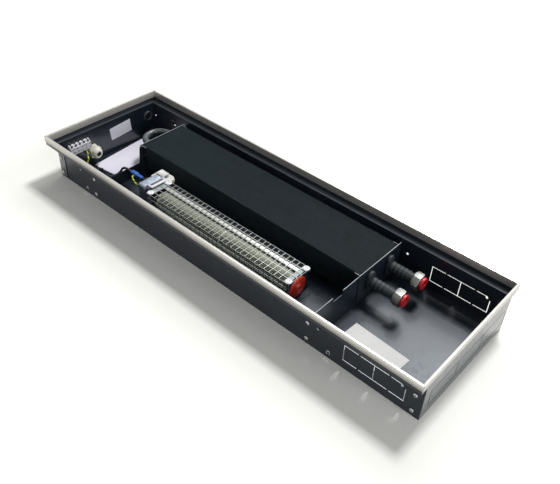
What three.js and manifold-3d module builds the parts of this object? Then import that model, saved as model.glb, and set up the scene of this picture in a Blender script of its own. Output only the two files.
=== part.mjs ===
// Trench convector heater, shown without its walk-on grille: a black sheet-steel tray with an
// aluminium edge frame, a finned heat exchanger with two flexible tails, a tangential fan under
// a perforated guard, and a wiring end. Millimetres, +Z up. The origin is the middle of the
// tray's underside, +X points to the pipe connections and -Y to the fan side.
import * as THREE from 'three';
import { mergeVertices } from 'three/addons/utils/BufferGeometryUtils.js';
import Module from 'manifold-3d';

const wasm = await Module();
wasm.setup();

// ---- Driving dimensions -------------------------------------------------------------------

const GAP = 0.3; // between pieces that rest on or pass through each other
const SHEET = 1; // tray, end plates, cross plates, fan shields

// Tray and its edge frame
const TRAY_LENGTH = 950;
const TRAY_WIDTH = 300;
const TRAY_HEIGHT = 100;
const LEDGE_DEPTH = 20; // top of the frame down to the ledge that carries the grille
const SIDE_LEDGE = 18; // outside of the frame to outside of a long wall
const END_LEDGE = 16; // the same at the wiring end; the other end has no ledge
const FRAME_WALL = 1.2;
const FRAME_OUTER_LEG = 13;
const FRAME_INNER_LEG = 15.5;
const FLANGE_WIDTH = 21; // folded edges of the end plates along the long walls
const FLANGE_BOTTOM = 2;
const FLANGE_TOP = 64;

// Knock-out windows, each outlined by slots with small bridges
const SLOT = 1.6;
const BRIDGE = 3.4;
const SIDE_WINDOW_SPACE = 150.5; // first slot to the connection end
const SIDE_PANEL = 59;
const WINDOW_BOTTOM = 19.5;
const WINDOW_TOP = 53.5;
const END_WINDOW_NEAR = 19; // end window to the outside of each long wall
const END_WINDOW_FAR = 5;
const END_PANELS = 3;
const WALL_HOLE_R = 2.6;
const WALL_HOLE_WIRING = 76; // from the wiring-end wall
const WALL_HOLE_MIDDLE = 205.5; // from the connection end
const WALL_HOLE_END = 39.5;
const WALL_HOLE_Z = 51;
const RING_R = 4.6;
const RING_WIRING = 92;
const RING_CONNECTION = 180.5;
const RING_Z = 12;

// Heat exchanger
const WIRING_SPACE = 118; // from each end to the outer face of its cross plate
const CONNECTION_SPACE = 221;
const EXCHANGER_WALL_GAP = 11; // fins to the far long wall
const EXCHANGER_WIDTH = 117;
const FIN_BOTTOM = 14;
const FIN_TOP = 71.5;
const FIN_COUNT = 22;
const FIN_THICKNESS = 0.6;
const TUBE_R = 7.5;
const TUBE_SPACING = 60;
const TUBE_SHIFT = 2; // of the tubes' middle towards the fan
const TUBE_ROWS = [29, 58];
const TUBE_END = 8; // tube past the wiring-end cross plate, up to its return bend
const END_PLATE_MARGIN = 6;
const END_PLATE_TOP = 73;
const END_PLATE_BOTTOM = 6;

// Cross plates
const CROSS_TOP = 70;
const CROSS_FLANGE = 13;
const NOTCH_REACH = 11; // from the fan's axis
const NOTCH_WIDTH = 26;
const NOTCH_DEPTH = 10;
const DIP_MARGIN_NEAR = 26.7;
const DIP_MARGIN_FAR = 9;
const DIP_Z = 31;
const DIP_SLOPE = 8;

// Tails, union nuts and plugs
const MANIFOLD_DEPTH = 7;
const MANIFOLD_WIDTH = 20;
const TAIL_NECK_R = 9;
const TAIL_RIB_R = 10.6;
const TAIL_RIBS = 5;
const TAIL_RIB_PITCH = 8.6;
const TAIL_BORE_R = 6.5;
const COLLAR_R = 11;
const COLLAR_LENGTH = 3;
const NUT_FLATS = 30;
const NUT_LENGTH = 16;
const NUT_BACK = 2.6;
const PLUG_STEM = 7;
const PLUG_FLANGE = 5;
const PLUG_RECESS_R = 6.5;

// Tangential fan
const FAN_SPACE = 64; // fan axis to the fins
const FAN_Z = 27.5;
const ROTOR_R = 22;
const ROTOR_INSET_LEFT = 11; // from the guard's end holes
const ROTOR_INSET_RIGHT = 3;
const BLADE_COUNT = 20;
const BLADE_INNER_R = 16.5;
const BLADE_THICKNESS = 0.8;
const DISC_THICKNESS = 1.5;
const SHAFT_R = 3;
const GUARD_PITCH = 12;
const GUARD_HOLE = 9.2;
const GUARD_ROWS = 5;
const GUARD_SPACE = 91.5; // centre of the last column to the connection-end cross plate
const MOTOR_SPACE = 130; // centre of the first column to the wiring-end cross plate, at least
const GUARD_REACH = 24; // fan axis to the centre of the far row
const GUARD_TOP = 55;
const GUARD_NEAR_DROP = 33;
const GUARD_FAR_DROP = 9;
const SHIELD_INSET = 5; // from the guard's end holes
const SHIELD_OUTSET = 1;
const SHIELD_FOOT = 13;
const CLIP_R = 7;
const CLIP_STEM_R = 2;
const CLIP_REACH = 1; // of the stem below the shield's flange
const BEARING_R = 23;
const SCROLL_SHEET = 0.8;
const SCROLL_CLEARANCE = 2.4;
const OUTLET_REACH = 41; // fan axis to the edge of the guide sheet

// Motor at the fan's wiring end
const CORE_SPACE = 27; // between the core and the fan's shield
const CORE_THICKNESS = 18;
const CORE_REACH_NEAR = 23; // from the fan's axis
const CORE_REACH_FAR = 39;
const CORE_BOTTOM = 2;
const CORE_TOP = 58;
const MOTOR_BORE_R = 13;
const LIMB_WIDTH = 12;
const WINDOW_WIDTH = 11;
const YOKE = 6;
const COIL_OVERHANG = 9.5;
const COIL_OVERHANG_FAN = 12; // on the side of the fan
const BOBBIN_FLANGE = 1.2;
const BOBBIN_CAP = 13; // overlap on top of the core
const CARRIER_LIP = 1.6;
const CARRIER_BAR = 6.4;
const STRAP_WIDTH = 16;
const STRAP_THICKNESS = 2;

// Wiring end
const GLAND_SPACE = 81; // gland axis to the near long wall
const GLAND_Z = 29;
const GLAND_FLATS = 27;
const GLAND_BORE_R = 4.5;
const GLAND_THREAD_R = 9.8;
const BLOCK_SPACE = 21; // block to the near long wall
const BLOCK_POLES = 5;
const BLOCK_PITCH = 10.4;
const BLOCK_BOTTOM = 45;
const BLOCK_HEIGHT = 21;
const BLOCK_DEPTH = 14;
const WIRE_R = 1.6;
const LEAD_R = 2.6;
const PLUG_BODY_LENGTH = 18.9;
const PLUG_BODY_WIDTH = 10;
const PLUG_BODY_HEIGHT = 9;
const PLUG_NOSE_LENGTH = 15.6;
const PLUG_NOSE_WIDTH = 8;
const PLUG_NOSE_HEIGHT = 7;
const PLUG_SPACE = 38; // middle of the plug and socket to the wiring-end cross plate
const PLUG_SHIFT = 9; // and from the middle of the dip towards the exchanger
const PLUG_Z = 33;
const EARTH_SPACE = 44; // stud to the near long wall
const EARTH_Z = 15;
const EARTH_LENGTH = 7;
const EARTH_R = 4;

// Papers
const LABEL_THICKNESS = 0.5;
const LABEL_WIDTH = 58;
const LABEL_HEIGHT = 30;
const LABEL_Y = 32;
const LABEL_Z = 48;
const LABEL_TILT = 0.08;
const SHEET_LENGTH = 116;
const SHEET_WIDTH = 62;
const SHEET_SPACE_X = 85.5; // middle of the sheet to the connection-end cross plate
const SHEET_SPACE_Y = 61; // and to the near long wall
const SHEET_TURN = -0.055;
const LEAFLET_THICKNESS = 1.6;
const LEAFLET_WIDTH = 78;
const LEAFLET_LENGTH = 150;
const LEAFLET_SPACE_X = 19; // near corner to the wiring-end wall
const LEAFLET_SPACE_Y = 70; // and to the near long wall
const LEAFLET_LIFT = 2.4; // of its free edge
const LEAFLET_TURN = 0.093;

// Fasteners
const SCREW_HEAD_R = 4;
const SCREW_HEAD = 2;
const SCREW_SHANK_R = 1.9;
const SCREW_HIGH_Z = 49;
const SCREW_LOW_Z = 12;

// ---- Places worked out from them ----------------------------------------------------------

const END_X = TRAY_LENGTH / 2;
const SIDE_Y = TRAY_WIDTH / 2;
const FRAME_WIDTH = 2 * FRAME_WALL + SHEET + 2 * GAP;
const UPSTAND_INSET = FRAME_WALL + GAP;
const UPSTAND_Y = SIDE_Y - UPSTAND_INSET;
const UPSTAND_X = END_X - UPSTAND_INSET;
const UPSTAND_TOP = TRAY_HEIGHT - FRAME_WALL - GAP;
const LEDGE_Z = TRAY_HEIGHT - LEDGE_DEPTH;
const WALL_Y = SIDE_Y - SIDE_LEDGE;
const WALL_X = -(END_X - END_LEDGE);
const INNER_Y = WALL_Y - SHEET;
const FLOOR_Z = SHEET + GAP; // where pieces stand on the floor sheet
const TRAY_LEFT = WALL_X + SHEET + GAP;
const TRAY_RIGHT = UPSTAND_X - SHEET - GAP;
const END_WINDOW_Y = END_WINDOW_NEAR - WALL_Y;
const END_PANEL = (2 * WALL_Y - END_WINDOW_NEAR - END_WINDOW_FAR) / END_PANELS;
const EXCHANGER_LEFT = WALL_X + WIRING_SPACE;
const EXCHANGER_RIGHT = UPSTAND_X - CONNECTION_SPACE;
const EXCHANGER_FAR = INNER_Y - EXCHANGER_WALL_GAP;
const EXCHANGER_NEAR = EXCHANGER_FAR - EXCHANGER_WIDTH;
const TUBE_MIDDLE_Y = (EXCHANGER_NEAR + EXCHANGER_FAR) / 2 - TUBE_SHIFT;
const TUBE_YS = [TUBE_MIDDLE_Y - TUBE_SPACING / 2, TUBE_MIDDLE_Y + TUBE_SPACING / 2];
const TAIL_Z = (TUBE_ROWS[0] + TUBE_ROWS[1]) / 2;
const FAN_Y = EXCHANGER_NEAR - FAN_SPACE;
const NOTCH_FAR = FAN_Y + NOTCH_REACH;
const DIP_NEAR = GAP - INNER_Y + DIP_MARGIN_NEAR;
const DIP_FAR = EXCHANGER_NEAR - DIP_MARGIN_FAR;
const NUT_X = EXCHANGER_RIGHT + 2 * GAP + SHEET + MANIFOLD_DEPTH + TAIL_RIBS * TAIL_RIB_PITCH + 8;
const GUARD_RIGHT_HOLE = EXCHANGER_RIGHT - GUARD_SPACE;
const GUARD_SPAN = GUARD_RIGHT_HOLE - EXCHANGER_LEFT - MOTOR_SPACE;
const GUARD_COLUMNS = Math.floor(GUARD_SPAN / GUARD_PITCH + GAP / GUARD_PITCH) + 1;
const GUARD_LEFT_HOLE = GUARD_RIGHT_HOLE - (GUARD_COLUMNS - 1) * GUARD_PITCH;
const GUARD_FAR_HOLE = FAN_Y + GUARD_REACH;
const GUARD_NEAR_HOLE = GUARD_FAR_HOLE - (GUARD_ROWS - 1) * GUARD_PITCH;
const GUARD_MARGIN = GUARD_PITCH / 2;
const GUARD_NEAR = GUARD_NEAR_HOLE - GUARD_MARGIN;
const GUARD_FAR = GUARD_FAR_HOLE + GUARD_MARGIN;
const ROTOR_LEFT = GUARD_LEFT_HOLE + ROTOR_INSET_LEFT;
const ROTOR_RIGHT = GUARD_RIGHT_HOLE - ROTOR_INSET_RIGHT;
const SHIELD_LEFT = GUARD_LEFT_HOLE + SHIELD_INSET;
const SHIELD_RIGHT = GUARD_RIGHT_HOLE + SHIELD_OUTSET;
const SHIELD_TOP = GUARD_TOP - SHEET - GAP;
const CLIP_TIP = SHIELD_TOP - SHEET - CLIP_REACH;
const CORE_RIGHT = SHIELD_LEFT - CORE_SPACE;
const CORE_LEFT = CORE_RIGHT - CORE_THICKNESS;
const CORE_NEAR = FAN_Y - CORE_REACH_NEAR;
const CORE_FAR = FAN_Y + CORE_REACH_FAR;
const LIMB_NEAR = CORE_FAR - LIMB_WIDTH;
const GLAND_Y = GLAND_SPACE - INNER_Y;
const BLOCK_NEAR = BLOCK_SPACE - INNER_Y;
const BRACKET_SCREW_LEFT = EXCHANGER_LEFT + CROSS_FLANGE / 2;
const BRACKET_SCREW_RIGHT = EXCHANGER_RIGHT - CROSS_FLANGE / 2;
const LEFT_SCREW_X = WALL_X + FLANGE_WIDTH / 2.6;
const RIGHT_SCREW_X = UPSTAND_X - FLANGE_WIDTH / 1.4;

// ---- Materials ----------------------------------------------------------------------------

function finish(color, roughness, metalness) {
  return new THREE.MeshStandardMaterial({ color, roughness, metalness });
}

const BLACK_PAINT = finish(0x16191d, 0.42, 0.2);
const ALUMINIUM = finish(0xc4c3bd, 0.35, 0.9);
const FIN_COATING = finish(0x1d2527, 0.6, 0.2);
const GALVANISED = finish(0xb9bcb6, 0.4, 0.85);
const BRIGHT_ALUMINIUM = finish(0xcfd1cf, 0.3, 0.9);
const NICKEL = finish(0xbfc0bf, 0.28, 0.95);
const RED_PLASTIC = finish(0xd8262c, 0.35, 0);
const RED_SILICONE = finish(0x9c2a17, 0.5, 0);
const LAMINATION = finish(0x7f8b96, 0.5, 0.6);
const COIL_TAPE = finish(0xe6d3ae, 0.6, 0);
const STEEL = finish(0xaeb1b3, 0.35, 0.9);
const GREY_NYLON = finish(0xbfc1b8, 0.55, 0);
const WHITE_NYLON = finish(0xd9d8de, 0.5, 0);
const BLUE_PLASTIC = finish(0x2b63b0, 0.45, 0);
const BLACK_CABLE = finish(0x111214, 0.5, 0);
const EARTH_WIRE = finish(0xa8b23a, 0.5, 0);
const PAPER = finish(0xe9e6f2, 0.85, 0);

// ---- Shape helpers ------------------------------------------------------------------------

function solidOf(geometry) {
  geometry.deleteAttribute('normal');
  geometry.deleteAttribute('uv');
  const merged = mergeVertices(geometry, 1e-4);
  const mesh = new wasm.Mesh({
    numProp: 3,
    vertProperties: new Float32Array(merged.attributes.position.array),
    triVerts: new Uint32Array(merged.index.array),
  });
  return new wasm.Manifold(mesh);
}

function join(...solids) {
  return solids.flat().reduce((sum, solid) => sum.add(solid));
}

function cut(solid, ...tools) {
  const removed = tools.flat();
  return removed.length ? solid.subtract(join(removed)) : solid;
}

function geometryOf(solid) {
  const mesh = solid.getMesh();
  const geometry = new THREE.BufferGeometry();
  geometry.setAttribute('position', new THREE.BufferAttribute(mesh.vertProperties, 3));
  geometry.setIndex(new THREE.BufferAttribute(mesh.triVerts, 1));
  return geometry;
}

function box(x0, x1, y0, y1, z0, z1) {
  const geometry = new THREE.BoxGeometry(x1 - x0, y1 - y0, z1 - z0);
  geometry.translate((x0 + x1) / 2, (y0 + y1) / 2, (z0 + z1) / 2);
  return solidOf(geometry);
}

function shapeOf(outline, holes = []) {
  const shape = new THREE.Shape(outline.map(([a, b]) => new THREE.Vector2(a, b)));
  for (const hole of holes) {
    shape.holes.push(new THREE.Path(hole.map(([a, b]) => new THREE.Vector2(a, b))));
  }
  return shape;
}

function extruded(shape, depth) {
  return new THREE.ExtrudeGeometry(shape, { depth, bevelEnabled: false, curveSegments: 6 });
}

// An outline in (y, z), extruded from x0 to x1
function prismX(outline, x0, x1, holes = []) {
  const geometry = extruded(shapeOf(outline, holes), x1 - x0);
  const basis = new THREE.Matrix4().makeBasis(
    new THREE.Vector3(0, 1, 0),
    new THREE.Vector3(0, 0, 1),
    new THREE.Vector3(1, 0, 0),
  );
  return solidOf(geometry.applyMatrix4(basis).translate(x0, 0, 0));
}

// An outline in (x, z), extruded from y0 to y1
function prismY(outline, y0, y1, holes = []) {
  const geometry = extruded(shapeOf(outline, holes), y1 - y0);
  return solidOf(geometry.rotateX(Math.PI / 2).translate(0, y1, 0));
}

// A profile of [x, radius] pairs, turned about a line along X through (y, z)
function turnedX(profile, y, z, segments) {
  const points = profile.map(([x, radius]) => new THREE.Vector2(radius, x));
  const geometry = new THREE.LatheGeometry(points, segments);
  return solidOf(geometry.rotateZ(-Math.PI / 2).translate(0, y, z));
}

function rodX(x0, x1, radius, y, z, segments) {
  return turnedX([[x0, 0], [x0, radius], [x1, radius], [x1, 0]], y, z, segments);
}

function rodY(y0, y1, radius, x, z, segments) {
  const geometry = new THREE.CylinderGeometry(radius, radius, y1 - y0, segments);
  return solidOf(geometry.translate(x, (y0 + y1) / 2, z));
}

function rodZ(z0, z1, radius, x, y, segments) {
  const geometry = new THREE.CylinderGeometry(radius, radius, z1 - z0, segments);
  return solidOf(geometry.rotateX(Math.PI / 2).translate(x, y, (z0 + z1) / 2));
}

function polygon(radius, sides, cx, cy, turn = 0) {
  const corners = [];
  for (let i = 0; i < sides; i += 1) {
    const angle = turn + (2 * Math.PI * i) / sides;
    corners.push([cx + radius * Math.cos(angle), cy + radius * Math.sin(angle)]);
  }
  return corners;
}

function arc(cx, cy, radius, from, to, steps) {
  const points = [];
  for (let i = 0; i <= steps; i += 1) {
    const angle = from + ((to - from) * i) / steps;
    points.push([cx + radius * Math.cos(angle), cy + radius * Math.sin(angle)]);
  }
  return points;
}

// Closed outline of a folded sheet: one face follows the path, the thickness lies to its left
function folded(path, thickness) {
  const inner = path.map((point, i) => {
    const before = path[Math.max(i - 1, 0)];
    const after = path[Math.min(i + 1, path.length - 1)];
    const into = i > 0 ? unit(before, point) : unit(point, after);
    const out = i < path.length - 1 ? unit(point, after) : into;
    const scale = thickness / (1 + into[0] * out[0] + into[1] * out[1]);
    return [point[0] - (into[1] + out[1]) * scale, point[1] + (into[0] + out[0]) * scale];
  });
  return [...path, ...inner.reverse()];
}

function unit(from, to) {
  const length = Math.hypot(to[0] - from[0], to[1] - from[1]);
  return [(to[0] - from[0]) / length, (to[1] - from[1]) / length];
}

// A round tube or cable of the given radius along a smooth curve through the points
function tubeAlong(points, radius, sides, steps) {
  const curve = new THREE.CatmullRomCurve3(points.map((p) => new THREE.Vector3(...p)));
  const section = shapeOf(polygon(radius, sides, 0, 0));
  return solidOf(new THREE.ExtrudeGeometry(section, { steps, extrudePath: curve }));
}

const group = new THREE.Group();

function piece(name, solid, material) {
  const mesh = new THREE.Mesh(geometryOf(solid), material);
  mesh.name = name;
  group.add(mesh);
}

// ---- Tray ---------------------------------------------------------------------------------

// The slots that outline one row of window panels, as boxes in (along, z) handed to slotBox
function windowSlots(start, panel, panels, slotBox) {
  const half = SLOT / 2;
  const slots = [];
  for (let i = 0; i <= panels; i += 1) {
    const at = start + i * panel;
    const from = i > 0 ? at - panel / 2 + BRIDGE / 2 : at - half;
    const to = i < panels ? at + panel / 2 - BRIDGE / 2 : at + half;
    const corner = i === panels ? 4 * BRIDGE : 0;
    slots.push(slotBox(at - half, at + half, WINDOW_BOTTOM - half, WINDOW_TOP + half - corner / 2));
    slots.push(slotBox(from, to, WINDOW_BOTTOM - half, WINDOW_BOTTOM + half));
    slots.push(slotBox(from, to - corner / 2, WINDOW_TOP - half, WINDOW_TOP + half));
  }
  return slots;
}

// A round knock-out: a C-shaped slot with one bridge at the bottom
function ringSlot(x, z) {
  const outer = arc(x, z, RING_R, -1.15, Math.PI + 1.15, 7);
  const inner = arc(x, z, RING_R - SLOT, Math.PI + 1.15, -1.15, 7);
  return prismY([...outer, ...inner], -SIDE_Y, SIDE_Y);
}

const screwXs = [LEFT_SCREW_X, BRACKET_SCREW_LEFT, BRACKET_SCREW_RIGHT, RIGHT_SCREW_X];
const screwZs = [SCREW_HIGH_Z, SCREW_LOW_Z];

function screwHoles() {
  const holes = [];
  for (const x of screwXs) {
    for (const z of screwZs) {
      holes.push(rodY(-SIDE_Y, SIDE_Y, SCREW_SHANK_R + GAP, x, z, 6));
    }
  }
  return holes;
}

function tray() {
  const path = [
    [-UPSTAND_Y, UPSTAND_TOP],
    [-UPSTAND_Y, LEDGE_Z - SHEET],
    [-WALL_Y, LEDGE_Z - SHEET],
    [-WALL_Y, 0],
    [WALL_Y, 0],
    [WALL_Y, LEDGE_Z - SHEET],
    [UPSTAND_Y, LEDGE_Z - SHEET],
    [UPSTAND_Y, UPSTAND_TOP],
  ];
  const sheet = prismX(folded(path, SHEET), TRAY_LEFT, TRAY_RIGHT);
  const through = (x0, x1, z0, z1) => box(x0, x1, -SIDE_Y, SIDE_Y, z0, z1);
  const windows = windowSlots(UPSTAND_X - SIDE_WINDOW_SPACE, SIDE_PANEL, 2, through);
  const holeXs = [WALL_X + WALL_HOLE_WIRING, UPSTAND_X - WALL_HOLE_MIDDLE, UPSTAND_X - WALL_HOLE_END];
  const holes = holeXs.map((x) => rodY(-SIDE_Y, SIDE_Y, WALL_HOLE_R, x, WALL_HOLE_Z, 8));
  const ringXs = [WALL_X + RING_WIRING, UPSTAND_X - RING_CONNECTION];
  const rings = ringXs.map((x) => ringSlot(x, RING_Z));
  return cut(sheet, windows, holes, rings, screwHoles());
}

function leftEndPlate() {
  const wallHalf = WALL_Y + SHEET + GAP;
  const solid = join(
    box(WALL_X, WALL_X + SHEET, -wallHalf, wallHalf, 0, LEDGE_Z),
    box(-UPSTAND_X, WALL_X + SHEET, -UPSTAND_Y, UPSTAND_Y, LEDGE_Z - SHEET, LEDGE_Z),
    box(-UPSTAND_X, -UPSTAND_X + SHEET, -UPSTAND_Y, UPSTAND_Y, LEDGE_Z - SHEET, UPSTAND_TOP),
    [-1, 1].map((side) => {
      const y = side * (UPSTAND_Y - SHEET / 2);
      const half = SHEET / 2;
      return box(-UPSTAND_X, WALL_X + SHEET, y - half, y + half, LEDGE_Z - SHEET, UPSTAND_TOP);
    }),
    [-1, 1].map((side) => {
      const y = side * (wallHalf - SHEET / 2);
      const half = SHEET / 2;
      return box(WALL_X, WALL_X + FLANGE_WIDTH, y - half, y + half, FLANGE_BOTTOM, FLANGE_TOP);
    }),
  );
  const entry = rodX(WALL_X - SHEET, WALL_X + 2 * SHEET, GLAND_THREAD_R + GAP, GLAND_Y, GLAND_Z, 16);
  return cut(solid, entry, screwHoles());
}

function rightEndPlate() {
  const x0 = UPSTAND_X - SHEET;
  const flangeY = INNER_Y - GAP - SHEET / 2;
  const solid = join(
    box(x0, UPSTAND_X, -WALL_Y, WALL_Y, 0, LEDGE_Z),
    box(x0, UPSTAND_X, -UPSTAND_Y, UPSTAND_Y, LEDGE_Z - SHEET, UPSTAND_TOP),
    [-1, 1].map((side) => {
      const y = side * flangeY;
      const half = SHEET / 2;
      return box(UPSTAND_X - FLANGE_WIDTH, UPSTAND_X, y - half, y + half, FLANGE_BOTTOM, FLANGE_TOP);
    }),
  );
  const through = (y0, y1, z0, z1) => box(x0 - SHEET, END_X, y0, y1, z0, z1);
  return cut(solid, windowSlots(END_WINDOW_Y, END_PANEL, END_PANELS, through), screwHoles());
}

piece('tray', tray(), BLACK_PAINT);
piece('left_end_plate', leftEndPlate(), BLACK_PAINT);
piece('right_end_plate', rightEndPlate(), BLACK_PAINT);

// ---- Edge frame ---------------------------------------------------------------------------

// One channel section over the upstand, drawn as [distance in from the outer face, height],
// swept along its side and mitred at both ends
function frameSide(length, toWorld) {
  const outline = [
    [0, TRAY_HEIGHT - FRAME_OUTER_LEG],
    [FRAME_WALL, TRAY_HEIGHT - FRAME_OUTER_LEG],
    [FRAME_WALL, TRAY_HEIGHT - FRAME_WALL],
    [FRAME_WIDTH - FRAME_WALL, TRAY_HEIGHT - FRAME_WALL],
    [FRAME_WIDTH - FRAME_WALL, TRAY_HEIGHT - FRAME_INNER_LEG],
    [FRAME_WIDTH, TRAY_HEIGHT - FRAME_INNER_LEG],
    [FRAME_WIDTH, TRAY_HEIGHT],
    [0, TRAY_HEIGHT],
  ];
  const geometry = extruded(shapeOf(outline), length);
  const position = geometry.attributes.position;
  for (let i = 0; i < position.count; i += 1) {
    const inward = position.getX(i);
    const start = position.getZ(i) < length / 2;
    const mitre = inward + GAP / 2;
    const along = (start ? mitre : length - mitre) - length / 2;
    position.setXYZ(i, ...toWorld(inward, along, position.getY(i)));
  }
  return solidOf(geometry);
}

piece('frame_near', frameSide(TRAY_LENGTH, (n, s, z) => [s, n - SIDE_Y, z]), ALUMINIUM);
piece('frame_far', frameSide(TRAY_LENGTH, (n, s, z) => [-s, SIDE_Y - n, z]), ALUMINIUM);
piece('frame_left', frameSide(TRAY_WIDTH, (n, s, z) => [n - END_X, -s, z]), ALUMINIUM);
piece('frame_right', frameSide(TRAY_WIDTH, (n, s, z) => [END_X - n, s, z]), ALUMINIUM);

// ---- Cross plates and heat exchanger ------------------------------------------------------

// A folded plate across the tray. The near part's top edge is handed in; the far part is a
// cradle that the exchanger drops into, with cheeks folded along its sides.
function crossPlate(outerX, inward, nearTop) {
  const half = INNER_Y - GAP;
  const cradleNear = EXCHANGER_NEAR - GAP;
  const cradleFar = EXCHANGER_FAR + GAP;
  const outline = [
    [-half, FLOOR_Z],
    [half, FLOOR_Z],
    [half, CROSS_TOP],
    [cradleFar, CROSS_TOP],
    [cradleFar, FIN_BOTTOM - GAP],
    [cradleNear, FIN_BOTTOM - GAP],
    [cradleNear, CROSS_TOP],
    ...nearTop,
    [-half, CROSS_TOP],
  ];
  const x0 = Math.min(outerX, outerX + inward * SHEET);
  const edge = outerX + inward * CROSS_FLANGE;
  const f0 = Math.min(outerX, edge);
  const f1 = Math.max(outerX, edge);
  return cut(
    join(
      prismX(outline, x0, x0 + SHEET),
      box(f0, f1, -half, -half + SHEET, FLOOR_Z, FLANGE_TOP),
      box(f0, f1, half - SHEET, half, FLOOR_Z, FLANGE_TOP),
      box(f0, f1, cradleNear - SHEET, cradleNear, FIN_BOTTOM - GAP, CROSS_TOP),
      box(f0, f1, cradleFar, cradleFar + SHEET, FIN_BOTTOM - GAP, CROSS_TOP),
      box(f0, f1, -half, cradleNear, FLOOR_Z, FLOOR_Z + SHEET),
    ),
    screwHoles(),
  );
}

const notch = [
  [NOTCH_FAR + 3, CROSS_TOP],
  [NOTCH_FAR, CROSS_TOP - NOTCH_DEPTH],
  [NOTCH_FAR - NOTCH_WIDTH + 3, CROSS_TOP - NOTCH_DEPTH],
  [NOTCH_FAR - NOTCH_WIDTH, CROSS_TOP],
];
const dip = [
  [DIP_FAR, CROSS_TOP],
  [DIP_FAR - DIP_SLOPE / 2, DIP_Z],
  [DIP_NEAR + DIP_SLOPE, DIP_Z],
  [DIP_NEAR, CROSS_TOP - DIP_SLOPE],
];

piece('cross_plate_right', crossPlate(EXCHANGER_RIGHT, -1, notch), BLACK_PAINT);
piece('cross_plate_left', crossPlate(EXCHANGER_LEFT, 1, dip), BLACK_PAINT);

function exchangerEndPlate(x0) {
  const outline = [
    [EXCHANGER_NEAR - END_PLATE_MARGIN, END_PLATE_BOTTOM],
    [EXCHANGER_FAR + END_PLATE_MARGIN, END_PLATE_BOTTOM],
    [EXCHANGER_FAR + END_PLATE_MARGIN, END_PLATE_TOP],
    [EXCHANGER_NEAR - END_PLATE_MARGIN, END_PLATE_TOP],
  ];
  const holes = TUBE_YS.flatMap((y) => TUBE_ROWS.map((z) => polygon(TUBE_R + 2 * GAP, 8, y, z)));
  return prismX(outline, x0, x0 + SHEET, holes.map((hole) => hole.reverse()));
}

const END_PLATE_RIGHT_X = EXCHANGER_RIGHT + GAP;
const END_PLATE_LEFT_X = EXCHANGER_LEFT - GAP - SHEET;
const TUBE_LEFT = EXCHANGER_LEFT - TUBE_END;
const TUBE_RIGHT = END_PLATE_RIGHT_X + SHEET;

function finPack() {
  const first = EXCHANGER_LEFT + SHEET + GAP;
  const last = EXCHANGER_RIGHT - SHEET - GAP - FIN_THICKNESS;
  const pitch = (last - first) / (FIN_COUNT - 1);
  const solids = TUBE_YS.flatMap((y) =>
    TUBE_ROWS.map((z) => rodX(TUBE_LEFT, TUBE_RIGHT, TUBE_R, y, z, 6)));
  for (let i = 0; i < FIN_COUNT; i += 1) {
    const x = first + i * pitch;
    solids.push(box(x, x + FIN_THICKNESS, EXCHANGER_NEAR, EXCHANGER_FAR, FIN_BOTTOM, FIN_TOP));
  }
  return join(solids);
}

// A half-circle bend in a level plane that joins the two tubes of one row
function returnBend(z) {
  const start = TUBE_LEFT - GAP;
  const radius = TUBE_SPACING / 2;
  const straight = 4;
  const points = [[start, TUBE_YS[1], z], [start - straight / 2, TUBE_YS[1], z]];
  for (const [x, y] of arc(start - straight, TUBE_MIDDLE_Y, radius, Math.PI / 2, 1.5 * Math.PI, 8)) {
    points.push([x, y, z]);
  }
  points.push([start - straight / 2, TUBE_YS[0], z], [start, TUBE_YS[0], z]);
  return tubeAlong(points, TUBE_R, 8, 12);
}

piece('fin_pack', finPack(), FIN_COATING);
piece('exchanger_end_plate_right', exchangerEndPlate(END_PLATE_RIGHT_X), BLACK_PAINT);
piece('exchanger_end_plate_left', exchangerEndPlate(END_PLATE_LEFT_X), BLACK_PAINT);
piece('return_bend_lower', returnBend(TUBE_ROWS[0]), FIN_COATING);
piece('return_bend_upper', returnBend(TUBE_ROWS[1]), FIN_COATING);

// ---- Connection tails, union nuts and plugs -----------------------------------------------

// A flat manifold over the two tube ends of one column, with a ribbed tail and a flat collar
function connectionTail(y) {
  const back = TUBE_RIGHT + GAP;
  const front = back + MANIFOLD_DEPTH;
  const side = MANIFOLD_WIDTH / 2;
  const low = TUBE_ROWS[0] - TUBE_R;
  const high = TUBE_ROWS[1] + TUBE_R;
  const profile = [[back + SHEET, 0], [back + SHEET, TAIL_NECK_R]];
  for (let i = 0; i < TAIL_RIBS; i += 1) {
    const x = front + i * TAIL_RIB_PITCH;
    profile.push([x + 0.15 * TAIL_RIB_PITCH, TAIL_NECK_R]);
    profile.push([x + 0.45 * TAIL_RIB_PITCH, TAIL_RIB_R]);
    profile.push([x + 0.75 * TAIL_RIB_PITCH, TAIL_RIB_R]);
  }
  const collar = NUT_X + NUT_BACK + GAP;
  profile.push([collar, TAIL_NECK_R], [collar, COLLAR_R]);
  profile.push([collar + COLLAR_LENGTH, COLLAR_R], [collar + COLLAR_LENGTH, TAIL_BORE_R]);
  profile.push([front, TAIL_BORE_R], [front, 0]);
  const manifold = prismX([
    ...arc(y, high - side, side, 0, Math.PI, 6),
    ...arc(y, low + side, side, Math.PI, 2 * Math.PI, 6),
  ], back, front);
  return join(manifold, turnedX(profile, y, TAIL_Z, 12));
}

function hexNut(x0, length, flats, y, z) {
  const corner = flats / Math.sqrt(3);
  const bevel = corner - flats / 2;
  const round = corner + 0.2;
  const hexagon = prismX(polygon(corner, 6, y, z), x0, x0 + length);
  const chamfer = turnedX([
    [x0, 0], [x0, round - bevel], [x0 + bevel, round], [x0 + length - bevel, round],
    [x0 + length, round - bevel], [x0 + length, 0],
  ], y, z, 18);
  return hexagon.intersect(chamfer);
}

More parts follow.
